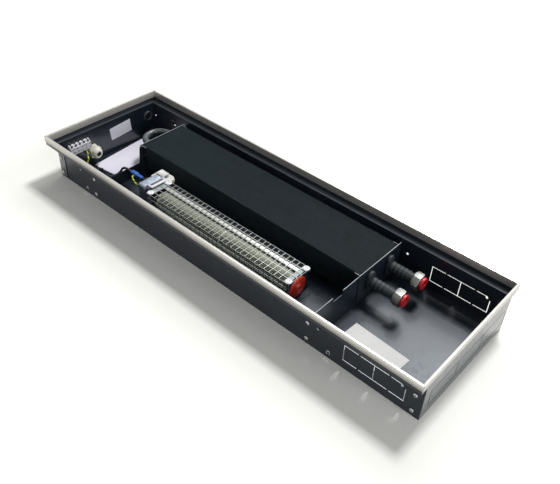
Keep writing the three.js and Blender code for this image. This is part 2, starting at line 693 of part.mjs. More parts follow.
function unionNut(y) {
  const front = NUT_X + NUT_LENGTH;
  return cut(
    hexNut(NUT_X, NUT_LENGTH, NUT_FLATS, y, TAIL_Z),
    rodX(NUT_X - SHEET, front, TAIL_NECK_R + 2 * GAP, y, TAIL_Z, 16),
    rodX(NUT_X + NUT_BACK, front + SHEET, COLLAR_R + 2 * GAP, y, TAIL_Z, 16),
  );
}

function plug(y) {
  const front = NUT_X + NUT_LENGTH;
  return turnedX([
    [front - PLUG_STEM, 0],
    [front - PLUG_STEM, COLLAR_R - GAP],
    [front + GAP, COLLAR_R - GAP],
    [front + GAP, COLLAR_R + 1.5],
    [front + GAP + PLUG_FLANGE - 1, COLLAR_R + 1.5],
    [front + GAP + PLUG_FLANGE, COLLAR_R + 0.5],
    [front + GAP + PLUG_FLANGE, PLUG_RECESS_R],
    [front + GAP + 1, PLUG_RECESS_R],
    [front + GAP + 1, 0],
  ], y, TAIL_Z, 16);
}

const tails = { near: TUBE_YS[0], far: TUBE_YS[1] };
for (const [side, y] of Object.entries(tails)) {
  piece(`tail_${side}`, connectionTail(y), BLACK_PAINT);
  piece(`union_nut_${side}`, unionNut(y), NICKEL);
  piece(`plug_${side}`, plug(y), RED_PLASTIC);
}

// ---- Tangential fan -----------------------------------------------------------------------

// Forward-curved blades between end discs and a middle disc, all on one axis
function impeller() {
  const middle = (ROTOR_LEFT + ROTOR_RIGHT) / 2;
  const bore = SHAFT_R + GAP;
  const disc = (x) => rodX(x, x + DISC_THICKNESS, ROTOR_R, FAN_Y, FAN_Z, 20);
  const solids = [
    disc(ROTOR_LEFT),
    disc(middle - DISC_THICKNESS / 2),
    disc(ROTOR_RIGHT - DISC_THICKNESS),
  ];
  const outerR = ROTOR_R - 1;
  const depth = outerR - BLADE_INNER_R;
  const path = [0, 0.5, 1].map((t) => {
    const radius = BLADE_INNER_R + depth * t;
    const sweep = 0.16 * Math.sin(t * Math.PI * 0.75);
    return [radius * Math.cos(sweep), radius * Math.sin(sweep)];
  });
  const section = folded(path, BLADE_THICKNESS);
  for (let i = 0; i < BLADE_COUNT; i += 1) {
    const turn = (2 * Math.PI * i) / BLADE_COUNT;
    const c = Math.cos(turn);
    const s = Math.sin(turn);
    const outline = section.map(([a, b]) => [FAN_Y + a * c - b * s, FAN_Z + a * s + b * c]);
    solids.push(prismX(outline, ROTOR_LEFT + DISC_THICKNESS / 2, ROTOR_RIGHT - DISC_THICKNESS / 2));
  }
  return cut(join(solids), rodX(ROTOR_LEFT - 1, ROTOR_RIGHT + 1, bore, FAN_Y, FAN_Z, 8));
}

const BEARING_FACE = SHIELD_RIGHT + SHEET + GAP;
const SHAFT_RIGHT = BEARING_FACE + 4.5;
const SHAFT_LEFT = CORE_LEFT - 9;

// Shallow silicone cup that carries the shaft in the connection-side shield
function bearing() {
  const inner = SHIELD_RIGHT - 2;
  const seat = BEARING_R - 3;
  return turnedX([
    [inner, SHAFT_R + GAP],
    [inner, seat],
    [BEARING_FACE, seat],
    [BEARING_FACE, BEARING_R],
    [BEARING_FACE + 2, BEARING_R - 2],
    [BEARING_FACE + 1, BEARING_R - 4],
    [BEARING_FACE + 1, 9],
    [BEARING_FACE + 5, 6],
    [BEARING_FACE + 5, SHAFT_R + GAP],
    [inner, SHAFT_R + GAP],
  ], FAN_Y, FAN_Z, 18);
}

// A shield across the fan's end with a top flange for the guard and a foot on the tray floor
function fanShield(x0, flange, foot, opening) {
  const near = GUARD_NEAR + SHEET + GAP;
  const far = GUARD_FAR - SHEET - GAP;
  const outline = [
    [near, FLOOR_Z], [far, FLOOR_Z], [far, SHIELD_TOP], [near, SHIELD_TOP],
  ];
  const hole = polygon(opening, 24, FAN_Y, FAN_Z).reverse();
  const clipHoles = [GUARD_NEAR_HOLE, GUARD_FAR_HOLE].map((y) =>
    rodZ(CLIP_TIP - GAP, SHIELD_TOP + SHEET, CLIP_STEM_R + GAP, flange.clip, y, 8));
  return cut(
    join(
      prismX(outline, x0, x0 + SHEET, [hole]),
      box(flange.from, flange.to, near, far, SHIELD_TOP - SHEET, SHIELD_TOP),
      box(foot.from, foot.to, near, far, FLOOR_Z, FLOOR_Z + SHEET),
    ),
    clipHoles,
  );
}

// Perforated cover: a flat top with square holes, a slotted near side and a short far lip
function guard() {
  const left = GUARD_LEFT_HOLE - GUARD_MARGIN;
  const right = GUARD_RIGHT_HOLE + GUARD_MARGIN;
  const path = [
    [GUARD_NEAR, GUARD_TOP - GUARD_NEAR_DROP],
    [GUARD_NEAR, GUARD_TOP],
    [GUARD_FAR, GUARD_TOP],
    [GUARD_FAR, GUARD_TOP - GUARD_FAR_DROP],
  ];
  const sheet = prismX(folded(path.reverse(), SHEET), left, right);
  const half = GUARD_HOLE / 2;
  const tools = [];
  for (let column = 0; column < GUARD_COLUMNS; column += 1) {
    const x = GUARD_LEFT_HOLE + column * GUARD_PITCH;
    const end = column === 0 || column === GUARD_COLUMNS - 1;
    for (let row = 0; row < GUARD_ROWS; row += 1) {
      const y = GUARD_NEAR_HOLE + row * GUARD_PITCH;
      if (end && (row === 0 || row === GUARD_ROWS - 1)) {
        tools.push(rodZ(GUARD_TOP - 4, GUARD_TOP + 1, CLIP_STEM_R + GAP, x, y, 8));
      } else {
        tools.push(box(x - half, x + half, y - half, y + half, GUARD_TOP - 4, GUARD_TOP + 1));
      }
    }
  }
  for (let x = left + GUARD_MARGIN; x < right - 2 * GUARD_PITCH; x += 2 * GUARD_PITCH) {
    const slot = [x - half, x + GUARD_PITCH + half];
    tools.push(box(...slot, GUARD_NEAR - 1, GUARD_NEAR + 2, GUARD_TOP - 16, GUARD_TOP - 5));
    tools.push(box(...slot, GUARD_NEAR - 1, GUARD_NEAR + 2, GUARD_TOP - 30, GUARD_TOP - 19));
  }
  return cut(sheet, tools);
}

// A domed washer on a stem that presses through the guard into the shield's flange
function clip(x, y) {
  const points = [
    [0, CLIP_TIP], [CLIP_STEM_R, CLIP_TIP],
    [CLIP_STEM_R, GUARD_TOP + GAP], [CLIP_R, GUARD_TOP + GAP],
    [CLIP_R, GUARD_TOP + GAP + 0.8], [CLIP_R - 2, GUARD_TOP + GAP + 1.6],
    [3, GUARD_TOP + GAP + 1.6], [2.6, GUARD_TOP + GAP + 1], [0, GUARD_TOP + GAP + 1],
  ].map(([r, z]) => new THREE.Vector2(r, z));
  const geometry = new THREE.LatheGeometry(points, 10);
  return solidOf(geometry.rotateX(Math.PI / 2).translate(x, y, 0));
}

// The guide sheet under the rotor, curling up on the near side and level towards the exchanger
function scroll() {
  const bottomR = FAN_Z - FLOOR_Z;
  const nearR = ROTOR_R + SCROLL_CLEARANCE + SCROLL_SHEET;
  const path = [];
  const steps = 9;
  for (let i = 0; i <= steps; i += 1) {
    const t = i / steps;
    const angle = Math.PI * (0.97 + 0.53 * t);
    const radius = nearR + (bottomR - nearR) * t;
    path.push([FAN_Y + radius * Math.cos(angle), FAN_Z + radius * Math.sin(angle)]);
  }
  path.push([FAN_Y + OUTLET_REACH, FLOOR_Z]);
  const left = SHIELD_LEFT + SHEET + GAP;
  return prismX(folded(path, SCROLL_SHEET), left, SHIELD_RIGHT - GAP);
}

// The angled strip on the exchanger side that parts the outlet from the inlet
function tongue() {
  const y = GUARD_FAR - SHEET - GAP;
  const top = SHIELD_TOP - SHEET - GAP;
  const path = [
    [y - 3, FAN_Z + 3],
    [y, FAN_Z + 8],
    [y, top],
    [y - 6, top],
  ];
  const right = GUARD_RIGHT_HOLE - CLIP_STEM_R - 2 * GAP;
  return prismX(folded(path, SCROLL_SHEET), SHIELD_LEFT + SHEET + GAP, right);
}

const leftClipX = GUARD_LEFT_HOLE;
const rightClipX = GUARD_RIGHT_HOLE;

piece('impeller', impeller(), BRIGHT_ALUMINIUM);
piece('fan_shaft', rodX(SHAFT_LEFT, SHAFT_RIGHT, SHAFT_R, FAN_Y, FAN_Z, 12), STEEL);
piece('silicone_bearing', bearing(), RED_SILICONE);
piece('fan_shield_right', fanShield(
  SHIELD_RIGHT,
  { from: rightClipX - CLIP_R, to: SHIELD_RIGHT + SHEET, clip: rightClipX },
  { from: SHIELD_RIGHT, to: SHIELD_RIGHT + SHIELD_FOOT },
  BEARING_R - 3 + GAP,
), BLACK_PAINT);
piece('fan_shield_left', fanShield(
  SHIELD_LEFT,
  { from: leftClipX - CLIP_R + 1, to: SHIELD_LEFT + SHEET, clip: leftClipX },
  { from: SHIELD_LEFT - SHIELD_FOOT, to: SHIELD_LEFT + SHEET },
  MOTOR_BORE_R,
), BLACK_PAINT);
piece('fan_guard', guard(), GALVANISED);
piece('guard_clip_near_left', clip(leftClipX, GUARD_NEAR_HOLE), WHITE_NYLON);
piece('guard_clip_far_left', clip(leftClipX, GUARD_FAR_HOLE), WHITE_NYLON);
piece('guard_clip_near_right', clip(rightClipX, GUARD_NEAR_HOLE), WHITE_NYLON);
piece('guard_clip_far_right', clip(rightClipX, GUARD_FAR_HOLE), WHITE_NYLON);
piece('fan_scroll', scroll(), GALVANISED);
piece('fan_tongue', tongue(), GALVANISED);

// ---- Motor --------------------------------------------------------------------------------

// Laminated C-core: the rotor bore on the near side, a wound limb on the far side
function motorCore() {
  const c = 3;
  const outline = [
    [CORE_NEAR + c, CORE_BOTTOM], [CORE_FAR - c, CORE_BOTTOM], [CORE_FAR, CORE_BOTTOM + c],
    [CORE_FAR, CORE_TOP - c], [CORE_FAR - c, CORE_TOP], [CORE_NEAR + c, CORE_TOP],
    [CORE_NEAR, CORE_TOP - c], [CORE_NEAR, CORE_BOTTOM + c],
  ];
  const window = [
    [LIMB_NEAR - WINDOW_WIDTH, CORE_BOTTOM + YOKE], [LIMB_NEAR - WINDOW_WIDTH, CORE_TOP - YOKE],
    [LIMB_NEAR, CORE_TOP - YOKE], [LIMB_NEAR, CORE_BOTTOM + YOKE],
  ];
  const bore = polygon(MOTOR_BORE_R, 24, FAN_Y, FAN_Z).reverse();
  return prismX(outline, CORE_LEFT, CORE_RIGHT, [window, bore]);
}

// The winding round the far limb, on a bobbin with a flange at each end, a cap over the core's
// far corner and a terminal beside the fan
function motorCoil() {
  const low = CORE_BOTTOM + YOKE + GAP;
  const high = CORE_TOP - YOKE - GAP;
  const near = LIMB_NEAR - WINDOW_WIDTH + 1;
  const far = CORE_FAR + COIL_OVERHANG;
  const x0 = CORE_LEFT - COIL_OVERHANG;
  const x1 = CORE_RIGHT + COIL_OVERHANG_FAN;
  const ring = (grow, z0, z1) => {
    const r = 4;
    const corners = [
      [x0 - grow + r, near], [x1 + grow - r, near], [x1 + grow, near + r],
      [x1 + grow, far + grow - r], [x1 + grow - r, far + grow], [x0 - grow + r, far + grow],
      [x0 - grow, far + grow - r], [x0 - grow, near + r],
    ];
    return solidOf(extruded(shapeOf(corners), z1 - z0).translate(0, 0, z0));
  };
  const limb = box(
    CORE_LEFT - GAP, CORE_RIGHT + GAP, LIMB_NEAR - GAP, CORE_FAR + GAP, low - 1, high + 1,
  );
  const winding = [
    ring(0, low, high), ring(BOBBIN_FLANGE, low, low + 2), ring(BOBBIN_FLANGE, high - 2, high),
  ];
  const capFar = CORE_FAR + 4;
  const cap = [
    box(CORE_LEFT - 2, CORE_RIGHT + 2, CORE_FAR - BOBBIN_CAP, capFar, CORE_TOP + GAP, CORE_TOP + 2),
    box(CORE_LEFT - 2, CORE_RIGHT + 2, CORE_FAR + GAP, capFar, high - 1, CORE_TOP + 2),
  ];
  const terminal = box(x1 - 3, x1 + 5.5, far - 16, far - 4, high - 6, high + 1);
  return cut(join(winding, cap, terminal), limb);
}

// Strap across the core's outer face with the boss that holds the shaft's end
function motorStrap() {
  const x1 = CORE_LEFT - GAP;
  const strapFar = LIMB_NEAR - WINDOW_WIDTH + 1 - GAP;
  const half = STRAP_WIDTH / 2;
  const strap = prismX([
    [FAN_Y - 20, FAN_Z - half], [strapFar, FAN_Z - half], [strapFar, FAN_Z + half],
    [FAN_Y - 20, FAN_Z + half],
  ], x1 - STRAP_THICKNESS, x1);
  const boss = rodX(SHAFT_LEFT - 2, x1, 7, FAN_Y, FAN_Z, 16);
  const bore = rodX(SHAFT_LEFT - GAP, x1 + 1, SHAFT_R + GAP, FAN_Y, FAN_Z, 12);
  return cut(join(strap, boss), bore);
}

// Carrier between the core and the fan's shield: a face with the bore, a foot below and an
// open frame on top whose bar lies along the guard
function motorCarrier() {
  const x0 = CORE_RIGHT + GAP;
  const x1 = SHIELD_LEFT - GAP;
  const near = FAN_Y - 13;
  const far = LIMB_NEAR - WINDOW_WIDTH;
  const topFar = GUARD_FAR_HOLE + CLIP_R / 2;
  const lip = CARRIER_LIP;
  const outline = [
    [near, CORE_BOTTOM + 2], [far, CORE_BOTTOM + 2], [far, CORE_TOP - GAP], [near, CORE_TOP - GAP],
  ];
  const flange = GUARD_LEFT_HOLE - CLIP_R - 1;
  return join(
    prismX(outline, x0, x0 + lip, [polygon(MOTOR_BORE_R - 3, 16, FAN_Y, FAN_Z).reverse()]),
    cut(
      box(x0, flange, near, topFar, CORE_TOP - GAP - lip, CORE_TOP - GAP),
      box(x0 + lip, flange - CARRIER_BAR, near + 4, topFar - 4, CORE_BOTTOM, CORE_TOP),
    ),
    box(x0, x1, near, far, CORE_BOTTOM + 2 + GAP, CORE_BOTTOM + 2 + GAP + lip),
  );
}

piece('motor_core', motorCore(), LAMINATION);
piece('motor_coil', motorCoil(), COIL_TAPE);
piece('motor_strap', motorStrap(), STEEL);
piece('motor_carrier', motorCarrier(), WHITE_NYLON);
piece('motor_rotor', cut(
  rodX(CORE_LEFT + 1, CORE_RIGHT - 1, MOTOR_BORE_R - 2 * GAP, FAN_Y, FAN_Z, 24),
  rodX(CORE_LEFT, CORE_RIGHT, SHAFT_R + GAP, FAN_Y, FAN_Z, 12),
), STEEL);

// ---- Wiring end ---------------------------------------------------------------------------

const WALL_FACE = WALL_X + SHEET + GAP; // where pieces stand against the wiring-end wall

// Threaded body through the wall, with its locknut outside and its hexagon inside
function glandBody() {
  const hexEnd = WALL_FACE + 6;
  const hexagon = polygon(GLAND_FLATS / Math.sqrt(3), 6, GLAND_Y, GLAND_Z);
  const body = join(
    rodX(WALL_X - 9, hexEnd, GLAND_THREAD_R, GLAND_Y, GLAND_Z, 14),
    prismX(hexagon, WALL_FACE, hexEnd),
    prismX(hexagon, WALL_X - GAP - 5, WALL_X - GAP),
    rodX(hexEnd - 1, hexEnd + 12, GLAND_FLATS / 2 - 2.5, GLAND_Y, GLAND_Z, 14),
  );
  return cut(body, rodX(WALL_X - 12, hexEnd + 14, GLAND_BORE_R, GLAND_Y, GLAND_Z, 10));
}

// Domed clamping nut over the body's front
function glandNut() {
  const x0 = WALL_FACE + 6 + GAP;
  const inner = GLAND_FLATS / 2 - 2.5 + GAP;
  const dome = turnedX([
    [x0 + 8, 0], [x0 + 8, 13.2], [x0 + 13, 12.4], [x0 + 17, 10.5], [x0 + 19.5, 7.5], [x0 + 19.5, 0],
  ], GLAND_Y, GLAND_Z, 18);
  return cut(
    join(hexNut(x0, 10, GLAND_FLATS, GLAND_Y, GLAND_Z), dome),
    rodX(x0 - 1, x0 + 12 + GAP, inner, GLAND_Y, GLAND_Z, 16),
    rodX(x0 + 10, x0 + 21, GLAND_BORE_R, GLAND_Y, GLAND_Z, 12),
  );
}

function terminalBlock() {
  const x0 = WALL_FACE;
  const top = BLOCK_BOTTOM + BLOCK_HEIGHT;
  const far = BLOCK_NEAR + BLOCK_POLES * BLOCK_PITCH;
  const solids = [box(x0, x0 + 6, BLOCK_NEAR, far, BLOCK_BOTTOM, top)];
  const wells = [];
  for (let i = 0; i < BLOCK_POLES; i += 1) {
    const y = BLOCK_NEAR + (i + 0.5) * BLOCK_PITCH;
    const half = BLOCK_PITCH / 2 - 1;
    solids.push(box(x0 + 5, x0 + BLOCK_DEPTH, y - half, y + half, BLOCK_BOTTOM + 2, top - 4));
    solids.push(box(x0 + 3, x0 + BLOCK_DEPTH - 4, y - half + 1, y + half - 1, top - 5, top + 2));
    wells.push(rodX(x0 + BLOCK_DEPTH - 4, x0 + BLOCK_DEPTH + 1, 2.4, y, BLOCK_BOTTOM + 10, 8));
  }
  return cut(join(solids), wells);
}

// A blank plate on the wall, turned a few degrees as it was stuck on
function ratingLabel() {
  const plate = turnedRectangle(LABEL_WIDTH, LABEL_HEIGHT, LABEL_TILT, LABEL_Y, LABEL_Z);
  return prismX(plate, WALL_FACE, WALL_FACE + LABEL_THICKNESS);
}

// A blank sheet lying on the floor beside the connections
function floorSheet() {
  const cx = EXCHANGER_RIGHT + SHEET_SPACE_X;
  const cy = SHEET_SPACE_Y - INNER_Y;
  const outline = turnedRectangle(SHEET_LENGTH, SHEET_WIDTH, SHEET_TURN, cx, cy);
  return solidOf(extruded(shapeOf(outline), LABEL_THICKNESS).translate(0, 0, FLOOR_Z));
}

function turnedRectangle(width, height, turn, cx, cy) {
  return [[-1, -1], [1, -1], [1, 1], [-1, 1]].map(([a, b]) => [
    cx + (a * width * Math.cos(turn) - b * height * Math.sin(turn)) / 2,
    cy + (a * width * Math.sin(turn) + b * height * Math.cos(turn)) / 2,
  ]);
}

// A folded leaflet lying on the floor of the wiring end, its free edge lifted a little
function leaflet() {
  const path = [
    [0, GAP], [LEAFLET_WIDTH / 2, GAP + LEAFLET_LIFT / 6], [LEAFLET_WIDTH, LEAFLET_LIFT],
  ];
  const geometry = extruded(shapeOf(folded(path, LEAFLET_THICKNESS)), LEAFLET_LENGTH);
  geometry.rotateX(Math.PI / 2).translate(0, LEAFLET_LENGTH, 0).rotateZ(LEAFLET_TURN);
  return solidOf(geometry.translate(WALL_X + LEAFLET_SPACE_X, LEAFLET_SPACE_Y - INNER_Y, FLOOR_Z));
}

const EARTH_Y = EARTH_SPACE - INNER_Y;
const STUD_TIP = WALL_FACE + EARTH_LENGTH;
const PLUG_X = EXCHANGER_LEFT + PLUG_SPACE;
const PLUG_Y = (DIP_NEAR + DIP_FAR) / 2 + PLUG_SHIFT;
const PLUG_LEFT = PLUG_X - PLUG_BODY_LENGTH;
const PLUG_RIGHT = PLUG_X + PLUG_NOSE_LENGTH;
const BLOCK_X = WALL_FACE + BLOCK_DEPTH - 3.3;
const WIRE_TOP = BLOCK_BOTTOM - GAP;

function plugAndSocket() {
  const part = (x0, x1, width, height) => box(
    x0, x1, PLUG_Y - width / 2, PLUG_Y + width / 2, PLUG_Z - height / 2, PLUG_Z + height / 2,
  );
  return join(
    part(PLUG_LEFT, PLUG_X, PLUG_BODY_WIDTH, PLUG_BODY_HEIGHT),
    part(PLUG_X, PLUG_RIGHT, PLUG_NOSE_WIDTH, PLUG_NOSE_HEIGHT),
  );
}

// Routes of the wires, each from face to face, as distances from the pieces that they join
const coilLeft = CORE_LEFT - COIL_OVERHANG;
const motorRoute = [
  [coilLeft - 0.5, CORE_FAR - 2, PLUG_Z], [coilLeft - 3.5, CORE_FAR - 2.3, PLUG_Z + 0.2],
  [coilLeft - 8, CORE_FAR - 6, PLUG_Z + 0.6], [PLUG_RIGHT + 10, PLUG_Y + 7, PLUG_Z + 1],
  [PLUG_RIGHT + 4, PLUG_Y + 0.3, PLUG_Z + 0.1], [PLUG_RIGHT + 0.6, PLUG_Y, PLUG_Z],
];
const overDip = DIP_Z + GAP + LEAD_R + 1;
const floorWire = FLOOR_Z + GAP + LEAD_R;
const wallSide = EARTH_Y - 12;
const supplyRoute = [
  [PLUG_LEFT - 0.6, PLUG_Y, PLUG_Z], [PLUG_LEFT - 3.6, PLUG_Y, PLUG_Z + 0.1],
  [EXCHANGER_LEFT + 8, PLUG_Y - 1, overDip], [EXCHANGER_LEFT - 1, PLUG_Y - 3, overDip + 0.5],
  [EXCHANGER_LEFT - 9, PLUG_Y - 4, overDip - 5], [EXCHANGER_LEFT - 16, PLUG_Y - 6, overDip - 16],
  [EXCHANGER_LEFT - 24, PLUG_Y - 13, floorWire + 6.5], [EXCHANGER_LEFT - 36, EARTH_Y + 11, floorWire + 2.5],
  [EXCHANGER_LEFT - 54, EARTH_Y - 6, floorWire + 0.4], [WALL_X + 40, wallSide, floorWire + 0.8],
  [WALL_X + 21, wallSide, floorWire + 9.8], [WALL_X + 12.5, wallSide - 2, EARTH_Z + 15],
  [BLOCK_X, wallSide - 2, BLOCK_BOTTOM - 6], [BLOCK_X, wallSide - 2, WIRE_TOP],
];
const earthRoute = [
  [BLOCK_X, EARTH_Y + 16, WIRE_TOP], [BLOCK_X, EARTH_Y + 16, BLOCK_BOTTOM - 4],
  [BLOCK_X + 6, EARTH_Y + 13, EARTH_Z + 17], [BLOCK_X + 13, EARTH_Y + 8, EARTH_Z + 10],
  [BLOCK_X + 11, EARTH_Y + 2, EARTH_Z + 3], [BLOCK_X + 4, EARTH_Y, EARTH_Z],
  [STUD_TIP + GAP, EARTH_Y, EARTH_Z],
];
const plugNear = PLUG_Y - PLUG_BODY_WIDTH / 2;
const linkRoute = [
  [PLUG_X - 6, plugNear - 0.6, PLUG_Z], [PLUG_X - 6, plugNear - 3, PLUG_Z + 0.4],
  [PLUG_X, plugNear - 9, PLUG_Z + 1.2], [PLUG_X + 13, plugNear - 15, PLUG_Z + 2],
  [PLUG_X + 27, plugNear - 20, PLUG_Z + 4], [CORE_LEFT - 12, CORE_NEAR + 7, CORE_TOP - 14],
  [CORE_LEFT - 5, CORE_NEAR + 4.5, CORE_TOP - 9], [CORE_LEFT - 0.6, CORE_NEAR + 4, CORE_TOP - 8],
];

piece('gland_body', glandBody(), GREY_NYLON);
piece('gland_nut', glandNut(), GREY_NYLON);
piece('terminal_block', terminalBlock(), WHITE_NYLON);
piece('rating_label', ratingLabel(), PAPER);
piece('floor_sheet', floorSheet(), PAPER);
piece('leaflet', leaflet(), PAPER);
piece('motor_lead', tubeAlong(motorRoute, LEAD_R, 8, 6), BLACK_CABLE);
piece('lead_connector', plugAndSocket(), BLUE_PLASTIC);
piece('supply_lead', tubeAlong(supplyRoute, LEAD_R, 8, 24), BLACK_CABLE);
piece('earth_wire', tubeAlong(earthRoute, WIRE_R, 8, 10), EARTH_WIRE);
piece('earth_link', tubeAlong(linkRoute, WIRE_R, 8, 12), EARTH_WIRE);
piece('earth_stud', join(
  rodX(WALL_FACE, STUD_TIP, EARTH_R / 2, EARTH_Y, EARTH_Z, 8),
  rodX(WALL_FACE, WALL_FACE + 3, EARTH_R, EARTH_Y, EARTH_Z, 6),
), STEEL);

// ---- Wall screws --------------------------------------------------------------------------

// Pan-head screws that hold the end plates and cross plates to the long walls
function screw(x, z, wallOuter, side) {
  const head = wallOuter + GAP;
  const tip = INNER_Y - GAP - 2 * SHEET;
  const shank = rodY(Math.min(side * tip, side * (head + 0.5)),
    Math.max(side * tip, side * (head + 0.5)), SCREW_SHANK_R, x, z, 6);
  const cap = rodY(Math.min(side * head, side * (head + SCREW_HEAD)),
    Math.max(side * head, side * (head + SCREW_HEAD)), SCREW_HEAD_R, x, z, 10);
  return join(shank, cap);
}

const screwNames = ['end_left', 'plate_left', 'plate_right', 'end_right'];
screwXs.forEach((x, i) => {
  const outer = i === 0 ? WALL_Y + SHEET + GAP : WALL_Y;
  screwZs.forEach((z, j) => {
    piece(`screw_${screwNames[i]}_${j === 0 ? 'high' : 'low'}`, screw(x, z, outer, -1), STEEL);
  });
});

export default group;
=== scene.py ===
"""Finishes the pieces of a floor-trench convector heater and lights it in a plain studio."""

import math

import bmesh
import bpy
from bpy.props import FloatProperty, FloatVectorProperty, IntProperty, PointerProperty
from bpy.types import Operator, Panel, PropertyGroup
from mathutils import Matrix, Vector


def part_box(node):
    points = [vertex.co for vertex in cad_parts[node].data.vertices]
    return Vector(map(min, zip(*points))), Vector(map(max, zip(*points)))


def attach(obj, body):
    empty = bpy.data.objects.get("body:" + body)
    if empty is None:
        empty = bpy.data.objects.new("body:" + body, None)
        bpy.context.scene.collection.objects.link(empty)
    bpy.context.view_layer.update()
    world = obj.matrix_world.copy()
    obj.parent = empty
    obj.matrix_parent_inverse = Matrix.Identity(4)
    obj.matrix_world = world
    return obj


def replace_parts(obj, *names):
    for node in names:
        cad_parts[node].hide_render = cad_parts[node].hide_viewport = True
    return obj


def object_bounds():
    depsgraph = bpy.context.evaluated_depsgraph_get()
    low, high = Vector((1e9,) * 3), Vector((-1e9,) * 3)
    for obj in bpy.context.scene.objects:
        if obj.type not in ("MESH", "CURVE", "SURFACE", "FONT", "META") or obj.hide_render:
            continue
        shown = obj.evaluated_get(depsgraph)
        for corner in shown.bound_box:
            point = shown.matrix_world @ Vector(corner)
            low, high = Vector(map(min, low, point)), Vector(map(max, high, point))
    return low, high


bl_info = {
    "name": "Trench convector heater",
    "version": (1, 0, 0),
    "blender": (4, 5, 0),
    "location": "3D View > Sidebar > Trench Heater",
    "description": "Pieces and finishes of a floor-trench convector",
    "category": "Object",
}

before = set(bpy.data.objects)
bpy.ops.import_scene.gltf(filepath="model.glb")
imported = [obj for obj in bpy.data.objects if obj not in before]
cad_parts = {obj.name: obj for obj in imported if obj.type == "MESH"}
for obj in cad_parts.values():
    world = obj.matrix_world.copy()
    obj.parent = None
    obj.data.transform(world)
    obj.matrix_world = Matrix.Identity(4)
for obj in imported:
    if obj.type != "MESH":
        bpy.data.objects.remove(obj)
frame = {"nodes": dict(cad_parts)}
CAD_BOX = [list(corner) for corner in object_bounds()]

MM = 0.001


def node_box(node):
    """Lowest and highest corner of a CAD node, in millimetres."""
    low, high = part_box(node)
    return low / MM, high / MM


def tone(red, green, blue):
    """A display colour from 0 to 255 as the linear colour that shaders take."""
    values = []
    for value in (red, green, blue):
        value /= 255
        values.append(value / 12.92 if value <= 0.04045 else ((value + 0.055) / 1.055) ** 2.4)
    return tuple(values)


# ---- Sizes in millimetres -----------------------------------------------------------------

WALL_FACES = (131, 132)  # of the long walls, from the middle
LIP_REACH = 13  # of the tongue's flange towards the rotor
LIP_WIDTH = 7
TUBE_R = 7.5
TUBE_YS = (29.5, 89.5)
TUBE_ROWS = (29, 58)  # heights of the tubes
TAIL_Z = 43.5
TAIL_NECK_R = 9
TAIL_RIB_R = 10.6
TAIL_RIBS = 5
TAIL_RIB_PITCH = 8.6
TAIL_BORE_R = 6.5
COLLAR_R = 11
COLLAR_LENGTH = 3
MANIFOLD_DEPTH = 7
MANIFOLD_WIDTH = 20
FAN_AXIS = (0, -61, 27.5)
WINDING_HEIGHTS = (10.3, 49.7)
WINDING_MIDDLE = (-240.7, -28.2)
CARRIER_WINDOW = ((-231.1, -70, 56.3), (-225.4, -37.5, 57.7))
GLAND_AXIS = (0, -50, 29)
MOTOR_ROUTE = [(-261, -24, 33), (-264, -24.3, 33.2), (-268.5, -28, 33.6), (-277.4, -39, 34),
               (-283.4, -45.7, 33.1), (-286.8, -46, 33)]
SUPPLY_ROUTE = [(-322.5, -46, 33), (-325.5, -46, 33.1), (-333, -47, 34.9), (-342, -49, 35.4),
                (-350, -50, 29.9), (-357, -52, 18.9), (-365, -59, 10.7), (-377, -76, 6.7),
                (-395, -93, 4.6), (-419, -99, 5), (-438, -99, 14), (-446.5, -101, 30),
                (-447, -101, 39), (-447, -101, 44.7)]
EARTH_ROUTE = [(-447, -71, 44.7), (-447, -71, 41), (-441, -74, 32), (-434, -79, 25),
               (-436, -85, 18), (-443, -87, 15), (-450.4, -87, 15)]
LINK_ROUTE = [(-309, -51.6, 33), (-309, -54, 33.4), (-303, -60, 34.2), (-290, -66, 35),
              (-276, -71, 37), (-263, -77, 44), (-256, -79.5, 49), (-251.6, -80, 50)]
LEAFLET_CORNER = (-440, -61)
LEAFLET_TURN = 0.093
LEAFLET_SHORT = 78
LEAFLET_LONG = 150
LEAFLET_PATH = ((0, 0.3), (39, 0.7), (78, 2.4))  # height over the short side
LEAD_R = 2.6
EARTH_R = 1.6
CONNECTOR_STEP = -303  # where the socket ends and the narrower plug starts
CONNECTOR_RIBS = (-317, -313, -309)
END_GROMMET = (112, 52)  # y and z
SIDE_GROMMET = (-388, 56)  # x and z
DISC = 1.5  # thickness of the rotor's discs
GUARD_SHEET = 0.9
GUARD_SKIRT = 9  # below the guard's last hole
PAPER = 0.2
FIN_DUST_HEIGHT = 70.8  # above it the fins' edges are dusty
LAMINATION = 0.6  # from sheet to sheet of the motor's core
TAPE_LAP = 4.2

# ---- Studio, in metres --------------------------------------------------------------------

FLOOR_SIDE = 18
BACK_PLACE = (-0.9, 2.65, 2.9)
BACK_SIZE = 2
SIDE_PLACE = (3.3, -0.35, 1.25)
SIDE_SIZE = 1.6

# ---- Sizes and colours in the panel -------------------------------------------------------


def colour(name, description, default):
    return FloatVectorProperty(
        name=name, description=description, default=default, subtype="COLOR", min=0, max=1)


def length(name, description, millimetres):
    return FloatProperty(
        name=name, description=description, default=millimetres * MM, min=0.00001,
        unit="LENGTH", subtype="DISTANCE", precision=5)


class TRENCH_PG_casing(PropertyGroup):
    paint: colour("Paint", "Powder coat of the tray and plates", tone(22, 29, 40))
    paint_worn: colour("Dusty paint", "Powder coat where it is handled", tone(40, 48, 59))
    frame: colour("Edge profile", "Satin anodised aluminium", tone(206, 203, 196))
    frame_bevel: length("Profile edge", "Rounding of the profile's edges", 0.35)


